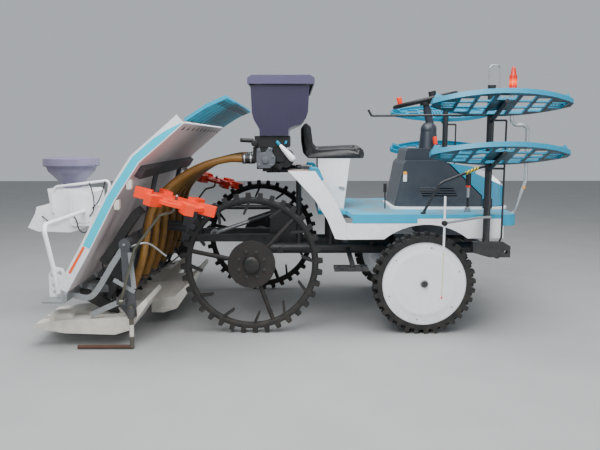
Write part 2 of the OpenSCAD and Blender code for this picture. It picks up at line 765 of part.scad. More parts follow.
module lift_barrel() color(dark) placed() difference() {
    union() {
        rod(at_y(ram_pin + 24 * ram_line, 55), at_y(ram_pin + 300 * ram_line, 55), 27);
        across(ram_pin, 55, 40, 30);
    }
    across(ram_pin, 55, 100, pin_r + pin_gap);
    rod(at_y(ram_pin + 60 * ram_line, 55), at_y(ram_pin + 400 * ram_line, 55), 14.2);
}

module lift_rod() color(silver) placed() difference() {
    union() {
        rod(at_y(ram_pin + 200 * ram_line, 55), at_y(ram_eye - 17 * ram_line, 55), 14);
        across(ram_eye, 55, 36, 28);
        across(ram_eye + eye_slot, 55, 36, 26);
    }
    // Slot that lets the links' cross bar wander as the links swing
    for (p = [ram_eye, ram_eye + eye_slot]) across(p, 55, 60, eye_slot_r);
    side_plate(strip([ram_eye, ram_eye + eye_slot], -eye_slot_r, eye_slot_r), 25, 60);
}

// The planting unit's carrier, with the hitch, the main beam and three planting cases
module planting_frame() color(grey_cast) placed() difference() {
    union() {
        // Hitch between the link ends
        for (s = [-1, 1]) side_plate([hitch_low + [24, -30], hitch_up + [24, 40],
            hitch_up + [-60, 40], hitch_low + [-90, -30]], s * 110 - 8, 16);
        rod(at_y(hitch_low + [-70, 20], -110), at_y(hitch_low + [-70, 20], 110), 14);
        for (s = [-1, 1]) rod(at_y(hitch_low + [-50, 60], s * 110), at_y(beam, s * 50), 24);
        across(hitch_low, 0, 2 * link_y + 36, pin_r);
        across(hitch_up, 0, 236, pin_r);
        across(beam, 0, 1810, 34);
        for (y = case_y) {
            side_plate([beam + [-20, 30], beam + [40, -10], claw_axle + [42, -10],
                claw_axle + [20, -38], claw_axle + [-30, -30], claw_axle + [-40, 18]], y - 34, 68);
            // Strut to the float below
            strut_foot = (y == 0 ? 168 : 174.8) + seat_gap;
            rod([-880, y, strut_foot], [-880, y, 290], 14);
            // Arm that carries the hose bar
            translate([-880, y - 10, 288]) cube([150, 20, 24]);
        }
        // Bar and sockets that the hoses end in
        across([-735, 300], 0, 1500, 12);
        for (y = hose_rows)
            rod(at_y(hose_end + seat_gap * hose_run, y), at_y(hose_end + 44 * hose_run, y), 26);
        // Side plates that carry the marker arms and the stands
        both_sides() {
            side_plate([[-745, 640], [-698, 640], [-672, 420], [-664, 190], [-716, 190], [-770, 262],
                [-770, 308], [-738, 350]], 890, 12);
            translate([stand_x, stand_y, 190]) cylinder(h = 54, r = 22);
            translate([stand_x - 12, 900, 195]) cube([24, 20, 40]);
            for (x = [-766, -726])
                translate([x, 900, marker_pivot.y - 14]) cube([12, 54, 28]);
        }
        // Masts for the platform's guide
        for (s = [-1, 1]) rod(at_y(beam, s * 420), at_y(guide, s * 420), 16);
        side_plate([for (c = [[-36, -1], [36, -1], [36, 1], [-36, 1]])
            guide + c.x * guide_run + c.y * guide_r * [guide_run.y, -guide_run.x]], -880, 1760);
    }
    across(claw_axle, 0, 1800, 15 + pin_gap);
    both_sides() {
        translate([stand_x, stand_y, 180]) cylinder(h = 90, r = 13 + pin_gap);
        rod([-780, marker_y, marker_pivot.y], [-700, marker_y, marker_pivot.y], 6 + pin_gap);
    }
}

// Six pairs of planting claws on their turning cases, and the axles that drive them
module planters() color(dark) placed() {
    for (y = case_y) {
        across(claw_axle, y, 330, 15);
        for (s = [-1, 1]) translate([claw_axle.x, y + s * row_pitch / 2, claw_axle.y])
            rotate([90, 28, 0]) {
                linear_extrude(26, center = true) square([176, 62], center = true);
                for (t = [0, 180]) rotate(t) translate([70, 0, 0]) linear_extrude(20, center = true)
                    polygon([[-10, -26], [24, -30], [claw_reach - 74, -12], [claw_reach - 72, -6],
                        [30, 24], [-10, 26]]);
            }
    }
}

// Side view of a float: a ski with its front turned up
float_side = [
    [-1290, 120], [-1100, 86], [-800, 76], [-710, 104], [-600, 268], [-612, 294], [-724, 186],
    [-820, 176], [-1100, 166], [-1270, 142]];

module floats() color(float_white) placed() {
    both_sides() difference() {
        side_plate(float_side, 490, 400);
        translate([-1300, 715, 0]) cube([560, 70, 400]);
    }
    difference() {
        translate([190, 0, 0]) side_plate(float_side, -400, 800);
        for (s = [-1, 1]) translate([-1300, s > 0 ? 112 : -412, 0]) cube([610, 300, 400]);
    }
}

// Fixed rail and shelf under the seedling platform
module platform_rail() color(silver) placed() {
    // Shelf with a window for the claws of each row
    difference() {
        side_plate([[-1180, 296], [-1050, 296], [-1034, 312], [-1034, 351.7], [-1056, 351.7],
            [-1066, 308], [-1180, 308]], -1000, 2000);
        for (y = rows) translate([-1092, y - 24, 280]) cube([100, 48, 100]);
    }
    // Brackets on the sides of the planting cases
    for (y = case_y, s = [-1, 1])
        side_plate([[-1054, 297], [-1036, 334], [-930, 334], [-900, 318], [-900, 276], [-960, 276]],
            y + s * (40 + seat_gap) - 6, 12);
}

module seedling_platform() color(white_panel) placed() {
    side_plate(strip(platform_line, -platform_half_t, platform_half_t), -platform_half_w,
        2 * platform_half_w);
    for (k = [-3 : 3])
        side_plate(strip(platform_line, 5, abs(k) == 3 ? 56 : 32),
            k * (platform_half_w - 7) / 3 - 6, 12);
}

module platform_extension() color(turquoise) placed() {
    side_plate(strip(extension_line, -4, 4), -platform_half_w + 10, 2 * platform_half_w - 20);
    for (k = [-12 : 12])
        side_plate(strip(extension_line, 3, 16), k * (platform_half_w - 16) / 12 - 4, 8);
}

// Line-marker arm, modelled for the left
module marker_arm() {
    tip = at_y(marker_hub, marker_y);
    lean = [sin(marker_lean), 0, cos(marker_lean)];
    bent_rod([at_y(marker_pivot + [0, 14], marker_y), [-653, marker_y, 604], [-501, marker_y, 800],
        tip - 60 * lean, tip + 30 * lean], 8, 28);
    difference() {
        rod([-752, marker_y, marker_pivot.y], [-728, marker_y, marker_pivot.y], 16);
        rod([-760, marker_y, marker_pivot.y], [-700, marker_y, marker_pivot.y], 6 + pin_gap);
    }
}

module marker_rotor() {
    translate(at_y(marker_hub, marker_y)) rotate([0, marker_lean, 0]) difference() {
        union() {
            translate([0, 0, -10]) cylinder(h = 20, r = 172);
            for (k = [0 : 5]) rotate(k * 60) translate([140, -26, -30]) cube([marker_r - 140, 52, 60]);
        }
        cylinder(h = 100, r = 8 + pin_gap, center = true);
        for (k = [0 : 5]) rotate(k * 60 + 30) translate([105, 0, -20]) cylinder(h = 40, r = 34);
    }
}

module marker_arm_left() color(zinc) placed() marker_arm();
module marker_arm_right() color(zinc) placed() mirror([0, 1, 0]) marker_arm();
module marker_rotor_left() color(orange) placed() marker_rotor();
module marker_rotor_right() color(orange) placed() mirror([0, 1, 0]) marker_rotor();

module stand() {
    rod([stand_x, stand_y, 13], [stand_x, stand_y, 262], 13);
    translate([stand_x, stand_y, 13]) sphere(r = 13);
    rod([stand_x, stand_y, 13], [stand_x - 320, stand_y, 13], 13);
}

module stand_left() color(zinc) placed() stand();
module stand_right() color(zinc) placed() mirror([0, 1, 0]) stand();

// Underside of the applicator's hopper, and the height of its bowl
bowl_z = 888.3;
bowl_h = 158.5;
applicator_x = -1320;

module applicator_frame() color(white_panel) placed() {
    bent_rod([[-1118, -900, 330], [-1140, -900, 480], [-1190, -900, 735], [-1190, 900, 735],
        [-1140, 900, 480], [-1118, 900, 330]], 13, 60);
    // Feet with lightening holes
    both_sides() difference() {
        side_plate([[-1176, 308 + seat_gap], [-1176, 440], [-1150, 489], [-1092, 478], [-1078, 446],
            [-1112, 376], [-1112, 308 + seat_gap]], 880, 8);
        for (p = [[-1152, 436], [-1110, 450], [-1146, 376], [-1142, 338]]) across(p, 884, 30, 13);
    }
    // Spreader housing with its chute, and the drive box beside it
    side_plate([[-1447, 888], [-1433, 786], [-1528, 762], [-1542, 713], [-1596, 617], [-1528, 589],
        [-1300, 582], [-1240, 600], [-1240, 888]], -140, 280);
    side_plate([[-1292, 650], [-1274, 632], [-1150, 632], [-1128, 654], [-1118, 868], [-1140, 884],
        [-1262, 884], [-1282, 866]], -170, 250);
    // Bail over the housing
    bent_rod([[-1412, -146, 720], [-1412, -146, 864], [-1384, -146, 904], [-1010, -146, 948],
        [-1030, -146, 800], [-1186, -146, 733]], 9, 26);
}

module applicator_hopper() color("#9a94c0") placed() {
    translate([applicator_x, 0, bowl_z]) rotate_extrude() polygon([
        [0, 0], [62, 0], [62, 22], [84, 38], [160, 116], [172, 150], [190, 152], [190, bowl_h],
        [166, bowl_h], [154, 120], [80, 44], [56, 30], [0, 12]]);
}

module applicator_lid() color("#9a94c0") placed() {
    translate([applicator_x, 0, bowl_z + bowl_h + seat_gap]) rotate_extrude() polygon([
        [0, 56], [150, 53], [182, 42], [186, 0], [194, 0], [190, 48], [152, 60], [0, 63]]);
}

main_frame();
engine_block();
front_axle_case();
rear_axle_case();
floor_deck();
side_skirts();
rear_fenders();
hood_base();
hood();
bonnet();
headlamps();
steering_column();
steering_wheel();
levers();
seat_base();
seat();
fertiliser_hopper();
hopper_lid();
metering_unit();
hoses();
rack_posts();
guide_bar();
seedling_racks();
front_rail();
beacon();
side_markers();
knuckle_left();
knuckle_right();
track_rod();
front_tyre_left();
front_disc_left();
front_tyre_right();
front_disc_right();
rear_ring_left();
rear_hub_left();
rear_ring_right();
rear_hub_right();
lower_links();
upper_link();
lift_barrel();
lift_rod();
planting_frame();
planters();
floats();
platform_rail();
seedling_platform();
platform_extension();
marker_arm_left();
marker_rotor_left();
marker_arm_right();
marker_rotor_right();
stand_left();
stand_right();
applicator_frame();
applicator_hopper();
applicator_lid();
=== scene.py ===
"""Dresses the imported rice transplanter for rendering, piece by piece in the order of its assembly.

Lengths are in metres: forward is +X, left is +Y and up is +Z. New pieces are laid out from the
rear axle, and surface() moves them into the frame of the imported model.
"""

from functools import partial
import math

import bmesh
import bpy
import numpy as np
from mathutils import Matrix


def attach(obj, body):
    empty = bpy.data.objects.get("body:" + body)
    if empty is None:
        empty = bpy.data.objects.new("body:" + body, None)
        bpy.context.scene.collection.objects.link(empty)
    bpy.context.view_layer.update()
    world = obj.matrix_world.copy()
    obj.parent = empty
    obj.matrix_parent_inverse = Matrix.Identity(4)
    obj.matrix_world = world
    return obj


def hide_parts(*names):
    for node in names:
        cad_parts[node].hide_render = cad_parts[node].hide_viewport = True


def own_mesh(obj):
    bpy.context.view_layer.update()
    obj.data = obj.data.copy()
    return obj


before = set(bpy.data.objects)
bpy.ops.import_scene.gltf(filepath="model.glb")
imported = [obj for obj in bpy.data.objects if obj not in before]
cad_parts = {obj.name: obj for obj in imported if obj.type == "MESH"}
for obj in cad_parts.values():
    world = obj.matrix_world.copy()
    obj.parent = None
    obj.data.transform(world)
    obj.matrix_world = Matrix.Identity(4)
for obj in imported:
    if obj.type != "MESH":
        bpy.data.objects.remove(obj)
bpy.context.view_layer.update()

# Where the view is taken from: a standing person's eye level, square to the machine's right side,
# with the lens looking slightly down.


def add_object(name, data):
    """Puts a camera, a lamp or a mesh into the scene."""
    added = bpy.data.objects.new(name, data)
    bpy.context.scene.collection.objects.link(added)
    return added


viewer = bpy.data.cameras.new("viewer")
viewer.lens = 38.2
viewer.sensor_width = 36.0
viewer_object = add_object("viewer", viewer)
viewer_object.location = (0.104, -4.57, 1.238)
viewer_object.rotation_euler = (math.radians(82.22), 0.0, math.radians(-0.45))
bpy.context.scene.camera = viewer_object

# The studio: one wide pale floor of smooth screed and three soft boxes, one overhead, one high on
# the viewer's side and one near the floor ahead, under an even sky.


def linear(hex_code):
    """The scene-linear colour of an sRGB hex code, by the standard sRGB curve."""
    srgb = np.array([int(hex_code[i:i + 2], 16) for i in (1, 3, 5)]) / 255
    rgb = np.where(srgb <= 0.04045, srgb / 12.92, ((srgb + 0.055) / 1.055) ** 2.4)
    return (*rgb.tolist(), 1.0)


def set_sockets(node, sockets):
    """Gives a node's sockets their values: plain ones, hex colours or other nodes' outputs."""
    for key, value in sockets.items():
        if isinstance(value, bpy.types.NodeSocket):
            node.id_data.links.new(value, node.inputs[key])
        else:
            node.inputs[key].default_value = linear(value) if isinstance(value, str) else value


def add_node(material, kind, sockets, out=0, **settings):
    """Adds a shader node with its settings and links. Returns an output, or the node for None."""
    node = material.node_tree.nodes.new("ShaderNode" + kind)
    for key, value in settings.items():
        setattr(node, key, value)
    set_sockets(node, sockets)
    return node if out is None else node.outputs[out]


def new_material(name, **sockets):
    """An empty material, the function that adds its nodes, its shader and its coordinates.

    The principled shader's sockets are given by name.
    """
    material = bpy.data.materials.new(name)
    material.use_nodes = True
    material.node_tree.nodes.clear()
    named = {key.replace("_", " "): value for key, value in sockets.items()}
    add = partial(add_node, material)
    shader = add("BsdfPrincipled", named, None)
    add("OutputMaterial", {"Surface": shader.outputs[0]}, None)
    return material, add, shader, add("TexCoord", {}, "Object")


def screed():
    """Power-floated cement screed, pale grey, mottled in patches of about 400 mm."""
    material, add, shader, place = new_material("Cement screed", Roughness=0.85)
    patches = add("TexNoise", {"Vector": place, "Scale": 2.5, "Detail": 6.0})
    set_sockets(shader, {"Base Color": add("Mix", {
        "Factor": patches, 6: "#8f9090", 7: "#9c9d9d"}, 2, data_type="RGBA")})
    return material


floor_mesh = bpy.data.meshes.new("floor")
floor_mesh.from_pydata([(-14, -9, 0), (14, -9, 0), (14, 14, 0), (-14, 14, 0)], [], [(0, 1, 2, 3)])
floor_mesh.materials.append(screed())
add_object("floor", floor_mesh)

sky = bpy.data.worlds.new("sky")
sky.use_nodes = True
set_sockets(sky.node_tree.nodes["Background"], {"Color": "#e3e8ee", "Strength": 0.62})
bpy.context.scene.world = sky

machine_middle = np.array([0.0, 0.0, 0.6])
# Each soft box: name, place, size and power
for box_name, place, size, power in (
        ("overhead", (0.3, -1.2, 4.6), 5.0, 500.0),
        ("side", (-1.2, -4.6, 3.9), 2.6, 150.0),
        ("bounce", (3.8, -3.4, 0.5), 2.0, 45.0)):
    lamp = bpy.data.lights.new(box_name, "AREA")
    lamp.size = size
    lamp.energy = power
    lamp_object = add_object(box_name, lamp)
    lamp_object.location = place
    aim = machine_middle - place
    lamp_object.rotation_euler = (
        math.acos(-aim[2] / np.linalg.norm(aim)), 0.0, math.atan2(-aim[0], aim[1]))

# The frame and the running gear under the floor: welded steel pipe and cast cases, dipped and
# baked in one dark slate enamel that field mud dulls from below.


def weathered(name, colour, shade, worn, soil, soil_top, roughness, grain_mm, relief_mm,
              edge_mm=1.2, wear=0.5, soiling=0.6, **sockets):
    """A coat that varies from colour to shade in patches, worn at edges, soiled from below.

    The edge mask is one less the cosine between the true and the rounded normal. The soil mask
    falls from one at the floor to nothing at soil_top, broken up by cloudy noise. What
    new_material gives comes back with the colour, for what is laid over it.
    """
    material, add, shader, place = new_material(name, **sockets)
    patches = add("TexNoise", {"Vector": place, "Scale": 9.0, "Detail": 5.0, "Roughness": 0.6})
    grain = add("TexNoise", {"Vector": place, "Scale": 1000.0 / grain_mm, "Detail": 3.0})
    tone = add("Mix", {"Factor": patches, 6: colour, 7: shade}, 2, data_type="RGBA")
    rounded = add("Bevel", {"Radius": edge_mm / 1000}, samples=4)
    true = add("NewGeometry", {}, "Normal")
    cosine = add("VectorMath", {0: rounded, 1: true}, "Value", operation="DOT_PRODUCT")
    edge = add("MapRange", {"Value": cosine, "From Min": 0.995, "From Max": 0.88, "To Max": wear})
    chipped = add("MapRange", {"Value": patches, "From Min": 0.4, "From Max": 0.62})
    edge_wear = add("Math", {0: edge, 1: chipped}, operation="MULTIPLY")
    worn_tone = add("Mix", {"Factor": edge_wear, 6: tone, 7: worn}, 2, data_type="RGBA")
    height = add("SeparateXYZ", {0: place}, 2)
    low = add("MapRange", {"Value": height, "From Min": soil_top, "From Max": 0.0})
    clouds = add("TexNoise", {"Vector": place, "Scale": 22.0, "Detail": 7.0, "Roughness": 0.7})
    broken = add("MapRange", {
        "Value": clouds, "From Min": 0.38, "From Max": 0.66, "To Max": soiling})
    soil_mask = add("Math", {0: low, 1: broken}, operation="MULTIPLY")
    final = add("Mix", {"Factor": soil_mask, 6: worn_tone, 7: soil}, 2, data_type="RGBA")
    gloss = add("MapRange", {
        "Value": grain, "To Min": roughness - 0.06, "To Max": roughness + 0.08})
    dull = add("Mix", {"Factor": soil_mask, 2: gloss, 3: 0.92}, data_type="FLOAT")
    relief = add("Bump", {
        "Height": grain, "Distance": relief_mm / 1000, "Strength": 0.6, "Normal": rounded})
    set_sockets(shader, {"Base Color": final, "Roughness": dull, "Normal": relief})
    return material, add, shader, place, final


def dress(material, *node_names):
    """Puts a material on CAD nodes."""
    for node_name in node_names:
        for material_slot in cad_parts[node_name].material_slots:
            material_slot.material = material


# Baked enamel, dark slate: dipped, drained and oven-cured, so it pools at welds
slate = weathered("Baked slate enamel on steel", "#1a1f25", "#13181d", "#5a5c5d", "#575046",
                  0.9, 0.42, 2.0, 0.05, Coat_Weight=0.15, Coat_Roughness=0.25)[0]
dress(slate, "main_frame", "front_axle_case", "rear_axle_case", "rack_posts", "guide_bar",
      "knuckle_left", "knuckle_right", "lower_links", "upper_link", "lift_barrel")

# The engine: a sand-cast aluminium block under the hood, bare and oily, left as it came from the
# mould, with a 1 mm sand grain.
cast_aluminium = weathered("Sand-cast aluminium", "#6c7177", "#53575d", "#c9cbcd", "#5b554b",
                           0.7, 0.5, 1.0, 0.12, Metallic=0.6)[0]
dress(cast_aluminium, "engine_block")

# The body panels: injection-moulded plastic, coloured right through, with a fine spark-eroded
# texture. A small turquoise step covers the inner front corner of each rear fender.
dust = "#8b8374"


def moulded(name, colour, shade, worn="#d9dcdf"):
    """Injection-moulded ABS, coloured right through, with a 0.8 mm spark-eroded grain."""
    return weathered(name, colour, shade, worn, dust, 1.1, 0.38, 0.8, 0.03, wear=0.2,
                     soiling=0.35, IOR=1.54)


def faced_plastic(name, colour, shade, facing_colour, low, high, cover=0.45):
    """Injection-moulded ABS that another colour covers where the normal's height lies in a range.

    Cloudy noise at about 60 mm thins the second colour, down to the share that cover gives.
    """
    material, add, shader, place, final = moulded(name, colour, shade)
    normal = add("TexCoord", {}, "Normal")
    facing = add("SeparateXYZ", {0: normal}, 2)
    above = add("Math", {0: facing, 1: low}, operation="GREATER_THAN")
    below = add("Math", {0: facing, 1: high}, operation="LESS_THAN")
    clouds = add("TexNoise", {"Vector": place, "Scale": 16.0, "Detail": 7.0})
    broken = add("MapRange", {"Value": clouds, "From Min": 0.3, "From Max": 0.5, "To Min": cover})
    inside = add("Math", {0: above, 1: below}, operation="MULTIPLY")
    mask = add("Math", {0: inside, 1: broken}, operation="MULTIPLY")
    set_sockets(shader, {"Base Color": add("Mix", {
        "Factor": mask, 6: final, 7: facing_colour}, 2, data_type="RGBA")})
    return material


turquoise_plastic = moulded("Turquoise moulded ABS", "#0087a9", "#007b9b")[0]
white_plastic = moulded("White moulded ABS", "#f3f5f8", "#e8ebf0")[0]
dress(white_plastic, "side_skirts", "seat_base", "applicator_frame", "hood_base")
dress(turquoise_plastic, "bonnet")
dress(faced_plastic("White moulded ABS, dusty on top", "#f3f5f8", "#e8ebf0", "#9a7a66", 0.95, 2.0),
      "rear_fenders")
# Painted shade: the racks' downward faces take a dark teal, broken up by cloudy noise.
dress(faced_plastic("Turquoise rack, painted shade below", "#0083a6", "#007898", "#032733", -2.0, -0.5),
      "seedling_racks")


def surface(name, grids, material, body="chassis", sharp=35.0):
    """A mesh of closed skins that rides on a body, moved from the rear axle to the model's frame.

    Each grid's rows are joined side by side, its columns wrap round, and its first and last rows
    are filled. Every face is then turned outwards.
    """
    axle = np.array([-0.17, 0.0, 0.0])
    points = []
    faces = []
    start = 0
    for grid in grids:
        rows, columns = grid.shape[:2]
        index = np.arange(rows * columns).reshape(rows, columns)
        after = np.roll(index, -1, axis=1)
        quads = np.stack([index[:-1], after[:-1], after[1:], index[1:]], axis=-1).reshape(-1, 4)
        points.append(grid.reshape(-1, 3) + axle)
        faces += (quads + start).tolist() + [(index[row] + start).tolist() for row in (0, -1)]
        start += rows * columns
    mesh = bpy.data.meshes.new(name)
    mesh.from_pydata(np.concatenate(points).tolist(), [], faces)
    skins = bmesh.new()
    skins.from_mesh(mesh)
    bmesh.ops.recalc_face_normals(skins, faces=skins.faces)
    skins.to_mesh(mesh)
    skins.free()
    mesh.shade_smooth()
    mesh.set_sharp_from_angle(angle=math.radians(sharp))
    mesh.materials.append(material)
    piece = add_object(name, mesh)
    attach(piece, body)
    return piece


def slab(outline, y_one, y_other, corner=0.0015):
    """A plate cut to an outline of (x, z) points, between two y values, with its edges eased.

    Row u is the outline drawn in towards its middle by the corner radius at the first and last
    rows, and at full size between them.
    """
    y_low, y_high = sorted((y_one, y_other))
    outline = np.array(outline)
    middle = outline.mean(axis=0)
    reach = np.linalg.norm(outline - middle, axis=1)[:, None]
    inner = outline - (outline - middle) / reach * corner
    depths = [y_low, y_low + corner, y_high - corner, y_high]
    return np.array([np.insert(ring, 1, depth, axis=1)
                     for ring, depth in zip([inner, outline, outline, inner], depths)])


sides = ((-1, "right"), (1, "left"))
step_side = [(0.362, 1.0342), (0.402, 1.0325), (0.444, 0.966), (0.459, 0.974), (0.43, 1.04),
             (0.414, 1.052), (0.37, 1.052)]
for side, side_name in sides:
    surface("step_cap_" + side_name, [slab(step_side, side * 0.36, side * 0.515, 0.004)],
            turquoise_plastic)

# The step floor: turquoise moulded floor with raised anti-slip ribs, worn and muddy where the
# driver steps.


def tread_floor():
    """Injection-moulded floor with 12 mm pitch ribs; mud lies between them in wide patches.

    The mud shows where broad noise is high and the surface faces up. The lip stays clean.
    """
    mud = "#6f7b80"
    material, add, shader, place, final = weathered(
        "Ribbed moulded floor, muddied", "#00a4ca", "#0098bc", "#7fb0ba", mud, 1.1, 0.5, 1.0,
        0.05, IOR=1.54, soiling=0.0)
    ribs = add("TexWave", {"Vector": place, "Scale": 26.0}, 1, bands_direction="Y")
    normal = add("TexCoord", {}, "Normal")
    facing = add("SeparateXYZ", {0: normal}, 2)
    broad = add("TexNoise", {"Vector": place, "Scale": 5.0, "Detail": 8.0, "Roughness": 0.65})
    lying = add("MapRange", {"Value": broad, "From Min": 0.36, "From Max": 0.58, "To Max": 0.85})
    upward = add("Math", {0: facing, 1: 0.8}, operation="GREATER_THAN")
    mask = add("Math", {0: lying, 1: upward}, operation="MULTIPLY")
    muddied = add("Mix", {"Factor": mask, 6: final, 7: mud}, 2, data_type="RGBA")
    relief = add("Bump", {"Height": ribs, "Distance": 0.002, "Strength": 0.8})
    set_sockets(shader, {"Base Color": muddied, "Normal": relief})
    return material


dress(tread_floor(), "floor_deck")

# The hood: a charcoal moulded shell with louvres. A blank warning plate, white under an amber
# band, is stuck to its rear corner on each side.
dress(moulded("Charcoal moulded ABS", "#2d353f", "#262d36", "#646b72")[0], "hood",
      "steering_column")


def vinyl_film(name, colour, shade, worn="#c9c6bf", soil_top=0.6, roughness=0.35, coat=0.2):
    """Cast vinyl film, screen-printed in one colour, slightly orange-peeled at 1.5 mm."""
    return weathered(name, colour, shade, worn, dust, soil_top, roughness, 1.5, 0.02, wear=0.2,
                     Coat_Weight=coat)[0]


def hood_side(angles, lift):
    """The hood's outline from above: a superellipse whose cosine and sine are raised to powers.

    Forward is the middle plus the half length times cos to the 0.28, and sideways is the half
    width times sin to the 0.22, both grown by lift.
    """
    cosine, sine = np.cos(angles), np.sin(angles)
    forward = 1.335 + (0.39 + lift) * np.sign(cosine) * np.abs(cosine) ** 0.28
    sideways = (0.25 + lift) * np.sign(sine) * np.abs(sine) ** 0.22
    return np.stack([forward, sideways], axis=1)


def hood_plate(side, z_low, z_high, thickness=0.0016):
    """A thin plate bent round the hood's outline at its rear corner, between two heights."""
    angles = np.radians(np.linspace(121, 113, 9)) * side
    outer = hood_side(angles, thickness)
    inner = hood_side(angles, 0.0)
    return np.stack([np.insert(edge, 2, z, axis=1) for edge, z in (
        (outer, z_low), (outer, z_high), (inner, z_high), (inner, z_low))], axis=1)


white_film = vinyl_film("White cast vinyl", "#d9dbdd", "#cccfd2")
amber_film = vinyl_film("Amber cast vinyl", "#e79a2b", "#dc8f24")
for side, side_name in sides:
    surface("warning_plate_" + side_name, [hood_plate(side, 0.945, 0.992)], white_film)
    surface("warning_band_" + side_name, [hood_plate(side, 0.9935, 1.012)], amber_film)

# The headlamps: clear lenses of injection-moulded polycarbonate, fluted inside and clipped over a
# bright reflector.


def fluted_lens(name, scale, direction, **sockets):
    """Injection-moulded polycarbonate lens with flutes 6 to 8 mm apart inside."""
    material, add, shader, place = new_material(name, IOR=1.586, **sockets)
    flutes = add("TexWave", {"Vector": place, "Scale": scale}, 1, bands_direction=direction)
    set_sockets(shader, {"Normal": add("Bump", {
        "Height": flutes, "Distance": 0.001, "Strength": 0.5})})
    return material, add, shader, place


dress(fluted_lens("Clear polycarbonate", 52.0, "Y", Base_Color="#dfe5ea", Roughness=0.08,
                  Coat_Weight=0.6, Metallic=0.35)[0], "headlamps")

# The steering wheel: self-skinned polyurethane with a leather-like grain of 1.5 mm, moulded over
# a steel ring, with an orange spinner knob. The lever at the column has a grip of the same orange.
polyurethane = weathered("Black self-skinned polyurethane", "#0e0f11", "#141517", "#2a2b2d",
                         "#4d483f", 0.8, 0.55, 1.5, 0.15, wear=0.3)[0]
dress(polyurethane, "steering_wheel")


def bright_plastic(name, colour, shade):
    """Injection-moulded polypropylene in one bright colour, faded a little by the sun."""
    return weathered(name, colour, shade, "#ffab8f", dust, 0.6, 0.4, 1.5, 0.04, IOR=1.49)[0]


def turned(profile, centre, axis, columns=24):
    """A turned shape from (radius, height) pairs along an axis.

    Point (u, v) is the centre plus height(u) along the axis, plus radius(u) at angle v round it.
    """
    axis = np.array(axis, float)
    axis /= np.linalg.norm(axis)
    level = (0, 1, 0) if abs(axis[1]) < 0.9 else (1, 0, 0)
    first = np.cross(axis, level)
    first /= np.linalg.norm(first)
    second = np.cross(axis, first)
    angles = np.arange(columns) * 2 * np.pi / columns
    spokes = np.cos(angles)[:, None] * first + np.sin(angles)[:, None] * second
    profile = np.array(profile)
    return np.array(centre) + profile[:, None, 1:2] * axis + profile[:, None, 0:1] * spokes[None]


def grip(radius, length, edge=0.004):
    """Half outline of a grip with eased ends: a quarter round, a straight and a quarter round."""
    turn = np.linspace(0.0, np.pi / 2, 6)
    start = np.stack([radius - edge + edge * np.sin(turn), edge - edge * np.cos(turn)], axis=1)
    finish = start[::-1] * [1, -1] + [0, length]
    return np.concatenate([[[0.001, 0.0]], start, finish, [[0.001, length]]])


orange_plastic = bright_plastic("Orange moulded polypropylene", "#fb3d0c", "#ee380a")
column_lean = math.radians(13)
surface("wheel_knob", [turned(grip(0.0185, 0.052), (1.0449, 0.158, 1.4815),
                              (-math.sin(column_lean), 0.0, math.cos(column_lean)))],
        orange_plastic, "steering_wheel")
surface("column_lever_grip", [turned(grip(0.0142, 0.056), (1.2571, -0.09, 1.193),
                                     (-0.0067, 0.0, 0.053))],
        orange_plastic)

# The levers on the floor: grips on rods, of injection-moulded black nylon with a satin 1 mm grain.
# The one beside the hood stands in a small zinc-plated fork, with a bright sleeve and a red band.
black_nylon_and_vent_shade = weathered("Black moulded nylon, also painted vent shade", "#0c0d0f", "#121416", "#36383b", "#4f493f", 1.15,
                        0.42, 1.0, 0.06, wear=0.3, soiling=0.35)[0]
# The same black also stands as painted shade in the platform's vents.
dress(black_nylon_and_vent_shade, "levers", "metering_unit")


def zinc_plate(name, colour, shade):
    """Electroplated zinc on steel, passivated, spangled at about 5 mm."""
    return weathered(name, colour, shade, "#dadcdd", "#7a7263", 0.7, 0.36, 5.0, 0.02,
                     Metallic=0.85)[0]


def bolt(place, axis, size=0.006):
    """A bolt head: a washer, a hexagon twice as wide as its size, and a domed top."""
    washer = [(0.0002, 0.0), (1.35 * size, 0.0), (1.35 * size, 0.25 * size), (0.0002, 0.25 * size)]
    head = [(0.0002, 0.25 * size), (1.08 * size, 0.25 * size), (1.08 * size, size),
            (0.9 * size, 1.2 * size), (0.0002, 1.25 * size)]
    return [turned(washer, place, axis, 20), turned(head, place, axis, 6)]


bright_zinc = zinc_plate("Zinc-plated steel", "#b4b8bb", "#9da1a4")
right = (0, -1, 0)
upward = (0, 0, 1)
fork_side = [(1.392, 0.7563), (1.432, 0.7563), (1.432, 0.764), (1.422, 0.788), (1.402, 0.788),
             (1.392, 0.764)]
surface("lever_fork", [
    slab(fork_side, -0.412, -0.4083, 0.001), slab(fork_side, -0.3917, -0.388, 0.001),
    *bolt((1.412, -0.412, 0.776), right, 0.0045),
    turned([(0.0082, 0.0), (0.0096, 0.0006), (0.0096, 0.0655), (0.0082, 0.066)],
           (1.412, -0.4, 0.8505), upward, 32)], bright_zinc)
red_plastic_and_rotor_shade = bright_plastic("Red moulded polypropylene, also painted rotor shade", "#d5361a", "#c93018")
surface("lever_band", [turned(grip(0.0158, 0.012, 0.002), (1.412, -0.4, 0.917), upward)],
        red_plastic_and_rotor_shade)
surface("lever_grip", [turned(grip(0.0172, 0.082, 0.008), (1.412, -0.4, 0.93), upward)],
        black_nylon_and_vent_shade)

# The seat box has a small recessed pull on its side, moulded in grey plastic and clipped into a
# pocket of the box.
grey_plastic = moulded("Grey moulded ABS", "#8e9297", "#82868b")[0]
pull_side = [(0.572, 0.907), (0.58, 0.913), (0.614, 0.902), (0.616, 0.894), (0.608, 0.888),
             (0.576, 0.899)]
surface("seat_box_pull", [slab(pull_side, -0.2165, -0.2052)], grey_plastic)

# The seat: calendered black vinyl with a 1.2 mm leather grain over moulded foam, crowned where the
# driver sits, with a sewn channel along both sides. A cloth simulation blows up the seat's solid.
vinyl = weathered("Black calendered vinyl", "#16181b", "#1c1e22", "#3b3d40", "#4b4740", 0.5,
                  0.4, 1.2, 0.2, wear=0.15)[0]
dress(vinyl, "seat")


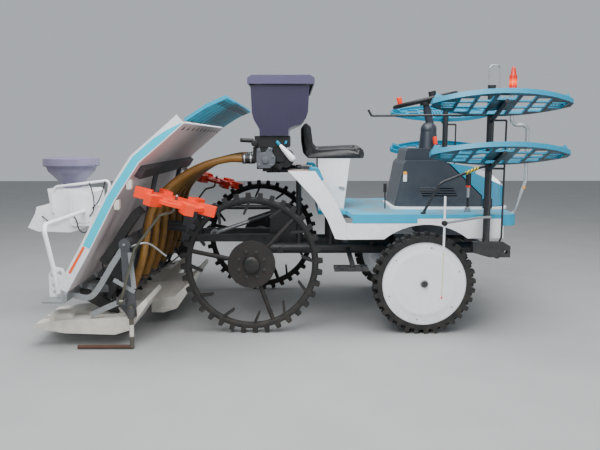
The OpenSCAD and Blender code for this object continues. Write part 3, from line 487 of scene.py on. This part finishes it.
def read_rows(mesh, attribute):
    """A vector attribute of all the mesh's points, as one array of rows."""
    values = np.empty(len(mesh.vertices) * 3, np.float32)
    mesh.vertices.foreach_get(attribute, values)
    return values.reshape(-1, 3)


def evaluated_mesh(piece):
    """The piece's mesh with its modifiers applied."""
    return bpy.data.meshes.new_from_object(
        piece.evaluated_get(bpy.context.evaluated_depsgraph_get()))


def blown_seat(underside=1.108, drawn_in=0.005, frames=20, most=0.011):
    """The seat's solid, drawn in, remeshed and blown up by cloth pressure, by 11 mm at most.

    Points below the underside rest on the seat base and are held.
    """
    solid = bmesh.new()
    solid.from_mesh(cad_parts["seat"].data)
    bmesh.ops.remove_doubles(solid, verts=solid.verts, dist=1e-5)
    bmesh.ops.recalc_face_normals(solid, faces=solid.faces)
    mesh = bpy.data.meshes.new("seat_cushion")
    solid.to_mesh(mesh)
    solid.free()
    cushion = add_object("seat_cushion", mesh)
    remesh = cushion.modifiers.new("even", "REMESH")
    remesh.mode = "VOXEL"
    remesh.voxel_size = 0.006
    soften = cushion.modifiers.new("soften", "SMOOTH")
    soften.iterations = 14
    even = evaluated_mesh(cushion)
    cushion.modifiers.clear()
    cushion.data = even
    rest = read_rows(even, "co").astype(float)
    normals = read_rows(even, "normal")
    under = rest[:, 2] < underside
    rest = rest - drawn_in * normals * ~under[:, None]
    even.vertices.foreach_set("co", rest.ravel())
    held = cushion.vertex_groups.new(name="held")
    held.add(np.flatnonzero(under).tolist(), 1.0, "REPLACE")
    cloth = cushion.modifiers.new("cloth", "CLOTH")
    cloth.settings.vertex_group_mass = "held"
    cloth.settings.use_pressure = True
    cloth.settings.uniform_pressure_force = 4.0
    cloth.settings.effector_weights.gravity = 0.0
    cloth.settings.quality = 5
    cloth.point_cache.frame_end = frames
    for step in range(1, frames + 1):
        bpy.context.scene.frame_set(step)
    moved = read_rows(evaluated_mesh(cushion), "co") - rest
    cushion.modifiers.clear()
    cushion.vertex_groups.clear()
    bpy.context.scene.frame_set(1)
    length = np.linalg.norm(moved, axis=1)[:, None]
    rest = rest + moved * np.minimum(1.0, most / np.maximum(length, 1e-9))
    # Sewn channels: points near two lines along the seat sink by a bell curve of their distance
    for line in (-0.168, 0.168):
        away = rest[:, 1] - line
        sink = 0.005 * np.exp(-(away / 0.0065) ** 2) * ~under
        rest = rest - sink[:, None] * normals
    # Creases of the cover at the front edge: short waves that fade out behind it
    near_front = np.clip((rest[:, 0] - 0.5) / 0.06, 0.0, 1.0)
    wave = np.sin(rest[:, 1] * 95 + 2.0 * np.sin(rest[:, 1] * 31)) * np.sin(rest[:, 2] * 190)
    rest[:, 2] += 0.0016 * near_front * wave * ~under
    even.vertices.foreach_set("co", rest.ravel())
    even.shade_smooth()
    even.materials.clear()
    even.materials.append(vinyl)
    finer = cushion.modifiers.new("finer", "SUBSURF")
    finer.levels = 1
    finer.render_levels = 1
    return cushion


seat_cushion = blown_seat()
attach(seat_cushion, "chassis")
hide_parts("seat")

# The hoppers: rotation-moulded polyethylene, smoky violet and hazy, so that the load would show
# through it. The lid is thicker, and it is painted paler than the bowl as a painted highlight on its
# rim.


def smoky_polyethylene(name, colour, shade, through):
    """Rotation-moulded polyethylene, tinted smoky violet, hazy and 4 to 6 mm thick."""
    return weathered(name, colour, shade, "#b4aecb", dust, 0.3, 0.24, 2.0, 0.03, edge_mm=4.0,
                     IOR=1.51, Transmission_Weight=through, Coat_Weight=0.2,
                     Coat_Roughness=0.12)[0]


dress(smoky_polyethylene("Smoky polyethylene", "#4a4564", "#3f3a56", 0.5), "fertiliser_hopper")
# Painted highlight: the lid's paler violet stands in for the light on the hopper's rim.
dress(smoky_polyethylene("Smoky polyethylene, thick, painted highlight", "#625d7c", "#565170", 0.25), "hopper_lid")

# The metering unit under the hopper: black moulded ducts, one bare gear case that drives it, a
# white fan lever with a turquoise knob and zinc-plated clips on the outlet cuffs.
gear_case = [(0.036, 1.06), (0.05, 1.048), (0.118, 1.05), (0.148, 1.075), (0.152, 1.118),
             (0.13, 1.152), (0.135, 1.176), (0.108, 1.182), (0.086, 1.15), (0.06, 1.148),
             (0.052, 1.178), (0.034, 1.17), (0.03, 1.11)]
case_skins = [slab(gear_case, -0.556, -0.5255, 0.003),
              turned(grip(0.021, 0.012, 0.003), (0.088, -0.555, 1.1), right)]
for x, z in ((0.05, 1.07), (0.125, 1.068), (0.135, 1.12), (0.048, 1.158), (0.118, 1.168)):
    case_skins += bolt((x, -0.5555, z), right, 0.0055)
surface("metering_gear_case", case_skins, cast_aluminium)

lever_start = np.array([0.268, -0.548, 1.098])
lever_end = np.array([0.178, -0.548, 1.196])
lever_way = lever_end - lever_start
lever_length = np.linalg.norm(lever_way)
surface("fan_lever", [turned(
    [(0.001, 0.0), (0.016, 0.003), (0.0215, 0.014), (0.02, 0.04), (0.0145, 0.1),
     (0.009, lever_length - 0.004), (0.001, lever_length)], lever_start, lever_way)],
    white_plastic, sharp=60.0)
surface("fan_lever_knob", [
    turned(grip(0.0105, 0.03), lever_end, lever_way),
    turned(grip(0.008, 0.022), (0.214, -0.545, 1.2), (0.3, 0, 1))],
    turquoise_plastic)
surface("shutter_handle", [
    turned(grip(0.0135, 0.085, 0.005), (0.012, -0.5, 1.221), (-1, 0, 0.05)),
    turned(grip(0.02, 0.03, 0.004), (0.02, -0.532, 1.205), right)],
    black_nylon_and_vent_shade)

six_rows = np.linspace(-2.5, 2.5, 6)
outlet_pitch = 0.19
clip_skins = []
for y in six_rows * outlet_pitch:
    for x in (-0.052, -0.012):
        clip_skins.append(turned([(0.0302, 0.0), (0.0322, 0.0004), (0.0322, 0.0086),
                                  (0.0302, 0.009)], (x, y, 1.105), (1, 0, 0), 32))
    clip_skins += bolt((-0.0075, y, 1.1375), upward, 0.004)
surface("cuff_clips", clip_skins, bright_zinc)

# The fertiliser hoses: extruded EVA with a wound rib, tan and browned by dust, one for each of
# the six rows, held at the outlet cuffs above and in sockets on the planting unit below.


def smooth_line(points, spacing):
    """A Catmull-Rom curve through the points, sampled at even spacing along its length.

    Each stretch is the cubic through its two ends whose slope at an end is half the step between
    that end's neighbours.
    """
    points = np.array(points, float)
    padded = np.concatenate([[2 * points[0] - points[1]], points, [2 * points[-1] - points[-2]]])
    before, start, end, behind = (padded[k:len(padded) - 3 + k][:, None] for k in range(4))
    t = np.linspace(0.0, 1.0, 40, endpoint=False)[None, :, None]
    curve = 0.5 * (2 * start + (end - before) * t
                   + (2 * before - 5 * start + 4 * end - behind) * t ** 2
                   + (3 * start - before - 3 * end + behind) * t ** 3)
    curve = np.concatenate([curve.reshape(-1, points.shape[1]), points[-1:]])
    length = np.insert(np.cumsum(np.linalg.norm(np.diff(curve, axis=0), axis=1)), 0, 0.0)
    even = np.linspace(0.0, length[-1], max(int(length[-1] / spacing), 2) + 1)
    return np.stack([np.interp(even, length, values) for values in curve.T], axis=1)


def carried(path, outline, level=(0.0, 0.0, 1.0)):
    """An outline carried along a path.

    Point (u, v) is path(u) plus the outline's first value at v sideways and its second upwards.
    Sideways is square to the path's direction and to level. The outline may change with u.
    """
    along = np.gradient(path, axis=0)
    along /= np.linalg.norm(along, axis=1)[:, None]
    across = np.cross(level, along)
    across /= np.linalg.norm(across, axis=1)[:, None]
    up = np.cross(along, across)
    outline = np.broadcast_to(np.array(outline), (len(path), *np.shape(outline)[-2:]))
    return path[:, None] + outline[..., 0:1] * across[:, None] + outline[..., 1:2] * up[:, None]


def circle(radius, columns):
    """Points of a circle: radius times the cosine and sine of even angles."""
    angles = np.arange(columns) * 2 * np.pi / columns
    return radius * np.stack([np.cos(angles), np.sin(angles)], axis=1)


# The hose's route: forward, share of the step sideways from outlet to row, and up
hose_forward, hose_share, hose_up = np.array([
    (-0.0622, 0.0, 1.105), (-0.15, 0.0, 1.105), (-0.27, 0.12, 1.078), (-0.39, 0.26, 1.026),
    (-0.5, 0.42, 0.948), (-0.59, 0.6, 0.846), (-0.634, 0.78, 0.72), (-0.646, 0.9, 0.61),
    (-0.662, 1.0, 0.51), (-0.69, 1.0, 0.42), (-0.725, 1.0, 0.33)]).T
socket_pitch = 0.3 * 0.94
hose_skins = []
for outlet, socket in zip(six_rows * outlet_pitch, six_rows * socket_pitch):
    sideways = outlet + hose_share * (socket - outlet)
    route = smooth_line(np.stack([hose_forward, sideways, hose_up], axis=1), 0.00225)
    ribs = 0.0232 + 0.0007 * np.cos(np.arange(len(route)) * 0.5 * np.pi)
    hose_skins.append(carried(route, ribs[:, None, None] * circle(1.0, 14)[None]))
tan_eva = weathered("Tan EVA hose", "#94691f", "#7b5719", "#b0894a", "#554326", 1.4, 0.36, 3.0,
                    0.1, IOR=1.48, Coat_Weight=0.2)[0]
hoses = surface("hoses_ribbed", hose_skins, tan_eva, sharp=80.0)
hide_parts("hoses")
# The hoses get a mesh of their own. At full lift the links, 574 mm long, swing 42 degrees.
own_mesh(hoses)

# The brace that steadies each rack post carries a band of hazard tape, black and yellow, wound
# round its tube.


def hazard_tape():
    """Retroreflective tape, yellow with black bars 15 mm apart, leaning 24 degrees forward."""
    material, add, shader, place, final = weathered(
        "Hazard tape", "#e6cf2a", "#d9c122", "#b5a63e", dust, 0.5, 0.35, 1.0, 0.02)
    along = add("VectorMath", {0: place, 1: (62.0, 0.0, -28.0)}, "Value", operation="DOT_PRODUCT")
    step = add("Math", {0: along}, operation="FRACT")
    black = add("Math", {0: step, 1: 0.55}, operation="GREATER_THAN")
    set_sockets(shader, {"Base Color": add("Mix", {
        "Factor": black, 6: final, 7: "#1d1e1d"}, 2, data_type="RGBA")})
    return material


tape_skins = []
for side in (-1, 1):
    brace = np.array([(1.352, side * 0.5523, 1.0191), (1.432, side * 0.5586, 1.0525)])
    tape_skins.append(turned([(0.0092, 0.0), (0.0104, 0.0003), (0.0104, 0.0862), (0.0092, 0.0865)],
                             brace[0], brace[1] - brace[0], 28))
surface("hazard_tape", tape_skins, hazard_tape())

# The front guard is bright zinc-plated pipe. The beacon on top has a black socket, and its orange
# lens glows from the inside.
dress(bright_zinc, "front_rail", "track_rod", "lift_rod")


def glowing_lens():
    """Orange polycarbonate lens, lit from inside: the glow is strongest 43 mm above the socket."""
    material, add, shader, place = fluted_lens(
        "Orange polycarbonate, lit", 40.0, "Z", Base_Color="#e02400", Roughness=0.12,
        Transmission_Weight=0.3)
    height = add("SeparateXYZ", {0: place}, 2)
    above = add("Math", {0: height, 1: 1.628}, operation="SUBTRACT")
    away = add("Math", {0: above}, operation="ABSOLUTE")
    lit = add("MapRange", {"Value": away, "From Min": 0.032, "From Max": 0.0})
    glow = add("Mix", {"Factor": lit, 6: "#ff2000", 7: "#ff7c00"}, 2, data_type="RGBA")
    strength = add("MapRange", {"Value": lit, "To Min": 0.05, "To Max": 1.3})
    set_sockets(shader, {"Emission Color": glow, "Emission Strength": strength})
    return material


dress(glowing_lens(), "beacon")
surface("beacon_socket", [turned(
    [(0.001, -0.002), (0.0285, -0.002), (0.0315, 0.001), (0.0315, 0.022), (0.0285, 0.0255),
     (0.0278, 0.0255)], (1.812, 0, 1.56), upward, 40)], black_nylon_and_vent_shade)
surface("guard_reflector", [turned(grip(0.011, 0.004, 0.001), (1.918, -0.0125, 0.885), right)],
        amber_film)

# The side markers: white enamelled rods on bare steel arms, with a yellow wire below and a red
# bead at its end. A black clamp joins each rod to its arm.


def marker_wire():
    """White enamel on steel wire, yellow below the arm and red at the bead; the arm is bare."""
    material, add, shader, place, final = weathered(
        "Enamelled marker wire", "#e8eaee", "#dfe2e7", "#a9a7a3", "#98907f", 0.3, 0.35, 4.0, 0.03,
        soiling=0.3)
    # Each stretch: the coordinate that bounds it, on which side, where, and its colour
    for axis, operation, bound, colour in (
            (2, "LESS_THAN", 0.561, "#d8cf8c"), (2, "LESS_THAN", 0.285, "#e8431f"),
            (0, "GREATER_THAN", 1.0055, "#8b9095")):
        coordinate = add("SeparateXYZ", {0: place}, axis)
        mask = add("Math", {0: coordinate, 1: bound}, operation=operation)
        final = add("Mix", {"Factor": mask, 6: final, 7: colour}, 2, data_type="RGBA")
    set_sockets(shader, {"Base Color": final})
    return material


dress(marker_wire(), "side_markers")
clamp_skins = []
for side in (-1, 1):
    clamp = np.array([1.168, side * 0.788, 0.733])
    clamp_skins.append(turned(grip(0.0165, 0.028, 0.003), clamp, (0, side, 0), 28))
    clamp_skins += bolt(clamp + [0, side * 0.0278, 0], (0, side, 0), 0.005)
surface("marker_clamps", clamp_skins, black_nylon_and_vent_shade)

# The tyres and field rings: vulcanised natural rubber loaded with carbon black. Dried mud greys
# it low down and between the lugs.
dress(weathered("Vulcanised black rubber", "#0d0e10", "#141517", "#2f2d2a", "#4b463b", 0.8, 0.7,
                2.5, 0.25, wear=0.45, soiling=0.45)[0],
      "front_tyre_left", "front_tyre_right", "rear_ring_left", "rear_ring_right")

# The front discs: pressed steel in baked white enamel with a 4 mm orange peel, a grey cap on the
# hub and a ring of small bolts near the rim.
dress(weathered("Baked white enamel on steel", "#eceef2", "#e3e6eb", "#a9a7a3", "#98907f", 0.4,
                0.3, 4.0, 0.03, soiling=0.3, Coat_Weight=0.3)[0],
      "front_disc_left", "front_disc_right")
half_track = 0.6


def bolt_ring(hub, out, degrees, radius, proud, size):
    """Bolts round a hub: each is the hub plus the radius at its angle, plus proud along out."""
    skins = []
    for angle in np.radians(degrees):
        place = hub + radius * np.array([np.cos(angle), 0.0, np.sin(angle)]) + proud * out
        skins += bolt(place, out, size)
    return skins


for side, side_name in sides:
    hub = np.array([1.09, side * half_track, 0.325])
    out = np.array([0.0, side, 0.0])
    surface("hub_cap_" + side_name, [turned(
        [(0.001, 0.036), (0.026, 0.036), (0.026, 0.04), (0.022, 0.047), (0.012, 0.0505),
         (0.001, 0.0515)], hub, out, 32)],
        grey_plastic, "front_wheel_" + side_name, 60.0)
    surface("disc_bolts_" + side_name,
            bolt_ring(hub, out, np.arange(20, 380, 60), 0.234, 0.0405, 0.0045), bright_zinc,
            "front_wheel_" + side_name)

# The rear hubs: black enamelled discs with eight bolts and a greased cap, and three pipe spokes.
# The enamel is sound near the hub, and rust has lifted it in places further out.
dress(weathered("Rusted slate enamel", "#0f1012", "#1b1715", "#4a372d", "#4b3f33", 0.8, 0.6, 3.0,
                0.2, soiling=0.4)[0], "rear_hub_left", "rear_hub_right")
for side, side_name in sides:
    hub = np.array([0.0, side * half_track, 0.45])
    out = np.array([0.0, side, 0.0])
    surface("hub_bolts_" + side_name,
            bolt_ring(hub, out, np.arange(22.5, 360, 45), 0.085, 0.0382, 0.0085), slate,
            "rear_wheel_" + side_name)
    surface("hub_boss_" + side_name, [turned(
        [(0.023, 0.0382), (0.052, 0.0382), (0.054, 0.041), (0.05, 0.058), (0.044, 0.062),
         (0.03, 0.064), (0.001, 0.066)], hub, out, 40)],
        black_nylon_and_vent_shade, "rear_wheel_" + side_name)

# The planting unit's frame: cast aluminium cases and beams, paler where rubbed and stained brown
# by mud. Flat bars, a chain guard, cables and a return spring hang on each side of it.
dress(weathered("Mud-stained cast aluminium", "#5f6368", "#44474b", "#9a9da0", "#50483b", 0.75,
                0.52, 1.4, 0.12, soiling=0.75, Metallic=0.5)[0], "planting_frame")
dress(black_nylon_and_vent_shade, "planters")
dress(bright_zinc, "platform_rail")


def rectangle(near, far, low, high):
    """The four corners of a rectangle, in order round it."""
    return [(near, low), (far, low), (far, high), (near, high)]


def flat_bar(route, spacing, section):
    """A section of (y, up) points carried along a route of (x, z) points in side view."""
    line = np.insert(smooth_line(route, spacing), 1, 0.0, axis=1)
    return carried(line, section) * [1, -1, 1]


bar_skins = []
for side in (-1, 1):
    # Each bar: its route in side view, half its height, and its two offsets from the middle
    for route, half, inner, outer in (
            ([(-0.712, 0.634), (-0.8, 0.5), (-0.925, 0.315), (-1.036, 0.315)], 0.017, 0.876, 0.888),
            ([(-0.689, 0.575), (-0.682, 0.47), (-0.673, 0.36)], 0.014, 0.9023, 0.9052),
            ([(-0.79, 0.415), (-0.73, 0.378), (-0.669, 0.34)], 0.0125, 0.9053, 0.9078),
            ([(-0.942, 0.195), (-0.85, 0.238), (-0.74, 0.286)], 0.0165, 0.879, 0.8875)):
        bar_skins.append(
            flat_bar(route, 0.012, rectangle(side * inner, side * outer, -half, half)))
    lever = [(-0.705, side * 0.872, 0.6), (-0.64, side * 0.868, 0.622),
             (-0.58, side * 0.862, 0.618), (-0.487, side * 0.86, 0.546)]
    bar_skins.append(carried(smooth_line(lever, 0.006), circle(0.006, 12)))
    for x, z in ((-0.722, 0.622), (-0.684, 0.52), (-0.727, 0.378), (-0.752, 0.281)):
        bar_skins += bolt((x, side * 0.9022, z), (0, side, 0), 0.008)
surface("unit_bars", bar_skins, bright_zinc, "planting_unit")

guard_route = [(-0.628, 0.822), (-0.668, 0.785), (-0.73, 0.7), (-0.79, 0.605), (-0.868, 0.505)]
guard_section = np.array([(0.8, -0.024), (0.8, 0.018), (0.8, 0.026), (0.856, 0.026),
                          (0.856, 0.018), (0.856, -0.024)])
surface("chain_guards", [flat_bar(guard_route, 0.01, guard_section * [side, 1])
                         for side in (-1, 1)], black_nylon_and_vent_shade, "planting_unit")

cable_skins = []
for side in (-1, 1):
    for points in (
            [(-0.7, 0.62, 0.66), (-0.8, 0.64, 0.5), (-0.76, 0.67, 0.405), (-0.62, 0.69, 0.4),
             (-0.5, 0.66, 0.47), (-0.4, 0.55, 0.55)],
            [(-0.74, 0.8, 0.63), (-0.86, 0.78, 0.56), (-0.9, 0.74, 0.45), (-0.84, 0.72, 0.38),
             (-0.76, 0.7, 0.31)]):
        line = smooth_line(np.array(points) * [1, side, 1], 0.008)
        cable_skins.append(carried(line, circle(0.0045, 10), (0.0, 1.0, 0.0)))
surface("unit_cables", cable_skins, polyurethane, "planting_unit", 80.0)

# Each spring's wire winds fourteen times round the straight line from its top to its foot
coils = 14
turns = np.linspace(0.0, coils, coils * 16)[:, None]
angle = turns * 2 * np.pi
spring_skins = []
for side in (-1, 1):
    top = np.array([-0.675, side * 0.86, 0.565])
    foot = np.array([-0.715, side * 0.86, 0.4])
    wound = 0.011 * np.concatenate([np.cos(angle), np.sin(angle), 0 * angle], axis=1)
    spring_skins.append(carried(top + (foot - top) * turns / coils + wound, circle(0.0018, 6)))
surface("return_springs", spring_skins, bright_zinc, "planting_unit", 80.0)

# The floats: blow-moulded polyethylene skis, off-white, scuffed and stained by mud. A cover of the
# same stuff lies over each outer float's pivot, and black links join the floats to the cases.
float_white = weathered("Scuffed white polyethylene", "#d6d4cd", "#cac6bb", "#a49e90", "#71674f",
                        0.34, 0.5, 2.0, 0.08, soiling=0.42)[0]
dress(float_white, "floats")


def pillow(centre, half, power=0.55, rows=20, columns=40):
    """A rounded block: each direction's cosines and sines are raised to a power below one.

    Point (u, v) has x = cos u cos v, y = cos u sin v and z = sin u, each factor raised to the
    power with its sign kept, times the half sizes.
    """
    def shaped(values):
        return np.sign(values) * np.abs(values) ** power

    u = np.linspace(-0.4999 * np.pi, 0.4999 * np.pi, rows)[:, None]
    v = (np.arange(columns) * 2 * np.pi / columns)[None]
    reach = shaped(np.cos(u))
    unit = np.stack([reach * shaped(np.cos(v)), reach * shaped(np.sin(v)),
                     shaped(np.sin(u)) + 0 * v], axis=-1)
    return np.array(centre) + unit * np.array(half)


surface("float_covers", [pillow((-1.135, side * 0.8, 0.158), (0.075, 0.055, 0.046))
                         for side in (-1, 1)], float_white, "planting_unit", 60.0)
link_section = rectangle(-0.008, 0.008, -0.014, 0.014)
surface("float_links", [carried(smooth_line(
    [(-1.02, side * 0.62, 0.128), (-0.9, side * 0.62, 0.15), (-0.8, side * 0.62, 0.19),
     (-0.76, side * 0.62, 0.24)], 0.01), link_section) for side in (-1, 1)],
    black_nylon_and_vent_shade, "planting_unit")

# The seedling platform: one white moulding with raised rails. Its downward faces are painted a
# duller, pinkish white: painted shade with the pink cast of the light below. A bright stripe runs up
# both outer rails, with an orange low end.
dress(faced_plastic("White moulded platform", "#e6e8ec", "#dadde3", "#e2d8d9", -2.0, -0.35, 1.0),
      "seedling_platform")
platform_line = np.array([(-1.049, 0.355), (-0.916, 0.583), (-0.753, 0.888), (-0.608, 1.103),
                          (-0.49, 1.203), (-0.35, 1.324)])


def beside(line, offset):
    """The line moved to its left by an offset, square to the mean direction at each point."""
    along = np.diff(line, axis=0)
    along /= np.linalg.norm(along, axis=1)[:, None]
    left = np.stack([-along[:, 1], along[:, 0]], axis=1)
    mean = np.concatenate([left[:1], left[:-1] + left[1:], left[-1:]])
    mean /= np.linalg.norm(mean, axis=1)[:, None]
    nearest = np.concatenate([left[:1], left])
    return line + mean * (np.array(offset) / (mean * nearest).sum(axis=1))[:, None]


def strip(line, corners):
    """A strip along a line in side view: each corner is a y value and an offset beside the line."""
    return np.stack([np.insert(beside(line, offset), 1, y, axis=1) for y, offset in corners],
                    axis=1)


def stripe(z_low, z_high, start, end, side, taper=0.0):
    """A film on the platform's side between two heights and two offsets from its line.

    Its upper end may narrow to a point over its last 90 mm.
    """
    between = (platform_line[:, 1] > z_low) & (platform_line[:, 1] < z_high)
    heights = np.unique(np.concatenate([
        [z_low, z_high], platform_line[between, 1], np.linspace(z_high - 0.06, z_high, 5)]))
    forward = np.interp(heights, platform_line[:, 1], platform_line[:, 0])
    upper = end - taper * np.clip((heights - z_high + 0.09) / 0.09, 0.0, 1.0) * (end - start)
    inner, outer = side * 0.9685, side * 0.9706
    return strip(np.stack([forward, heights], axis=1), rectangle(inner, outer, start, upper))


bright_film = vinyl_film("Bright turquoise vinyl", "#00c6e2", "#00bcd8", "#d9dcdf", 0.5, 0.33, 0.25)
orange_film = vinyl_film("Orange vinyl", "#f05a18", "#e45214", "#d9dcdf", 0.5, 0.33, 0.25)
surface("platform_stripes", [stripe(0.61, 1.318, 0.0, 0.043, side, 0.9) for side in (-1, 1)],
        bright_film, "platform")
surface("platform_low_stripes", [stripe(0.45, 0.604, 0.027, 0.042, side) for side in (-1, 1)],
        orange_film, "platform")

# The extension carries on the platform's curve: turquoise moulded ABS with painted shade, a dark
# teal, on its downward faces. Flat ribs under each row and one along its edge are painted a brighter
# turquoise, a painted lit copy of the same plastic.
dress(faced_plastic("Turquoise moulded extension, painted shade below", "#0098bc", "#008cae", "#0c4653",
                    -2.0, -0.35), "platform_extension")
extension_line = smooth_line([(-0.34, 1.333), (-0.215, 1.412), (-0.102, 1.462)], 0.012)


def extension_rib(start, end, y, half_width):
    """A flat rib under the extension, between two shares of its length, with eased lower edges.

    It reaches from the sheet's underside to 3.5 mm below it.
    """
    first, last = (int(share * (len(extension_line) - 1)) for share in (start, end))
    sheet, below = -0.0037, -0.0072
    return strip(extension_line[first:last + 1], [
        (y - half_width, sheet), (y + half_width, sheet),
        (y + 0.97 * half_width, below), (y - 0.97 * half_width, below)])


rib_skins = [extension_rib(0.93, 1.0, 0.0, 0.955)]
for y in (np.arange(12) - 5.5) * 0.159:
    rib_skins += [extension_rib(0.05, 0.76, y, 0.056), extension_rib(0.72, 1.0, y - 0.062, 0.011)]
# Painted light: the ribs take a brighter turquoise than the sheet they are moulded with.
surface("extension_ribs", rib_skins, moulded("Turquoise ABS, painted lit", "#18c4ec", "#0eb6de")[0],
        "platform")

# The vents pressed through the platform's upper edge are not cut out: thin black wedges under it
# stand for them, painted shade as seen from below.
# Clips of white plastic hold the platform to its slides, two on each side.
vent_line = smooth_line(platform_line[-2:], 0.004)[-14:-6]
half_width = np.linspace(0.032, 0.006, len(vent_line))
surface("platform_vent_shade", [
    strip(vent_line, rectangle(y - half_width, y + half_width, -0.0068, -0.0057))
    for y in (np.arange(10) - 4.5) * 0.18], black_nylon_and_vent_shade, "platform")
surface("slide_clips", [pillow((x, side * 0.94, z), (0.017, 0.024, 0.03), 0.4)
                        for side in (-1, 1) for x, z in ((-0.742, 0.86), (-0.668, 0.975))],
        float_white, "platform", 60.0)

# The line markers: zinc-plated cranked arms, each with a loose rotor of bright plastic. The one on
# the far side is painted a deeper red as painted shade.
dress(zinc_plate("Aged zinc-plated steel", "#75786e", "#5f5b4d"),
      "marker_arm_left", "marker_arm_right", "stand_left", "stand_right")
dress(orange_plastic, "marker_rotor_right")
# Painted shade: the far rotor takes the deeper red in place of the near rotor's orange.
dress(red_plastic_and_rotor_shade, "marker_rotor_left")
rotor_axis = np.array([math.sin(math.radians(15)), 0.0, math.cos(math.radians(15))])
for side, side_name in sides:
    rotor_top = np.array([-0.409, side * 0.94, 0.877]) + 0.0305 * rotor_axis
    surface("rotor_nut_" + side_name, bolt(rotor_top, rotor_axis, 0.008), bright_zinc,
            "marker_arm_" + side_name)

# The stands: aged zinc-plated rods in thin shrunk sleeves of white plastic. Each foot is hot-rolled
# rod whose zinc has gone, brown with dry rust in 3 mm blooms.
rust = weathered("Rusted steel rod", "#55362b", "#422821", "#6d5142", "#43362a", 0.2, 0.8, 3.0,
                 0.25)[0]
for side, side_name in sides:
    foot = np.array([-0.69, side * 0.925, 0.0135])
    surface("stand_foot_" + side_name, [turned(
        [(0.001, 0.0), (0.0132, 0.0005), (0.0132, 0.3196), (0.009, 0.3225), (0.001, 0.3228)],
        foot, (-1, 0, 0), 24)], rust, "stand_" + side_name)
    surface("stand_sleeve_" + side_name, [turned(
        [(0.0125, 0.0), (0.01306, 0.0006), (0.01306, 0.0714), (0.0125, 0.072)],
        foot + [0, 0, 0.0635], upward, 64)], float_white, "stand_" + side_name)

# The granule applicator: a white moulded housing on a bent white pipe, with a violet bowl and lid.
# Black control cables hang from it in loops, tied to its pipe.
dress(smoky_polyethylene("Violet polyethylene", "#8a84a0", "#7a7490", 0.25),
      "applicator_hopper", "applicator_lid")
surface("applicator_cables", [
    carried(smooth_line(points, 0.006), circle(0.004, 10), (0.0, 1.0, 0.0)) for points in (
        [(-1.49, -0.152, 0.7), (-1.42, -0.158, 0.65), (-1.352, -0.162, 0.677),
         (-1.29, -0.166, 0.71), (-1.246, -0.178, 0.68), (-1.225, -0.184, 0.61),
         (-1.19, -0.17, 0.585), (-1.15, -0.14, 0.625)],
        [(-1.15, -0.158, 0.93), (-1.128, -0.186, 0.9), (-1.112, -0.192, 0.82),
         (-1.118, -0.188, 0.745), (-1.15, -0.178, 0.7)],
        [(-1.04, -0.152, 0.942), (-1.056, -0.162, 0.88), (-1.09, -0.168, 0.8),
         (-1.13, -0.176, 0.755)])], polyurethane, "planting_unit", 80.0)
cover_side = [(-1.262, 0.655), (-1.168, 0.65), (-1.142, 0.672), (-1.135, 0.84), (-1.152, 0.862),
              (-1.252, 0.862), (-1.268, 0.846)]
cover_skins = [slab(cover_side, -0.1735, -0.1695, 0.002)]
for x, z in ((-1.25, 0.67), (-1.156, 0.668), (-1.15, 0.84), (-1.25, 0.845)):
    cover_skins += bolt((x, -0.1734, z), right, 0.0035)
surface("drive_box_cover", cover_skins, white_plastic, "planting_unit")
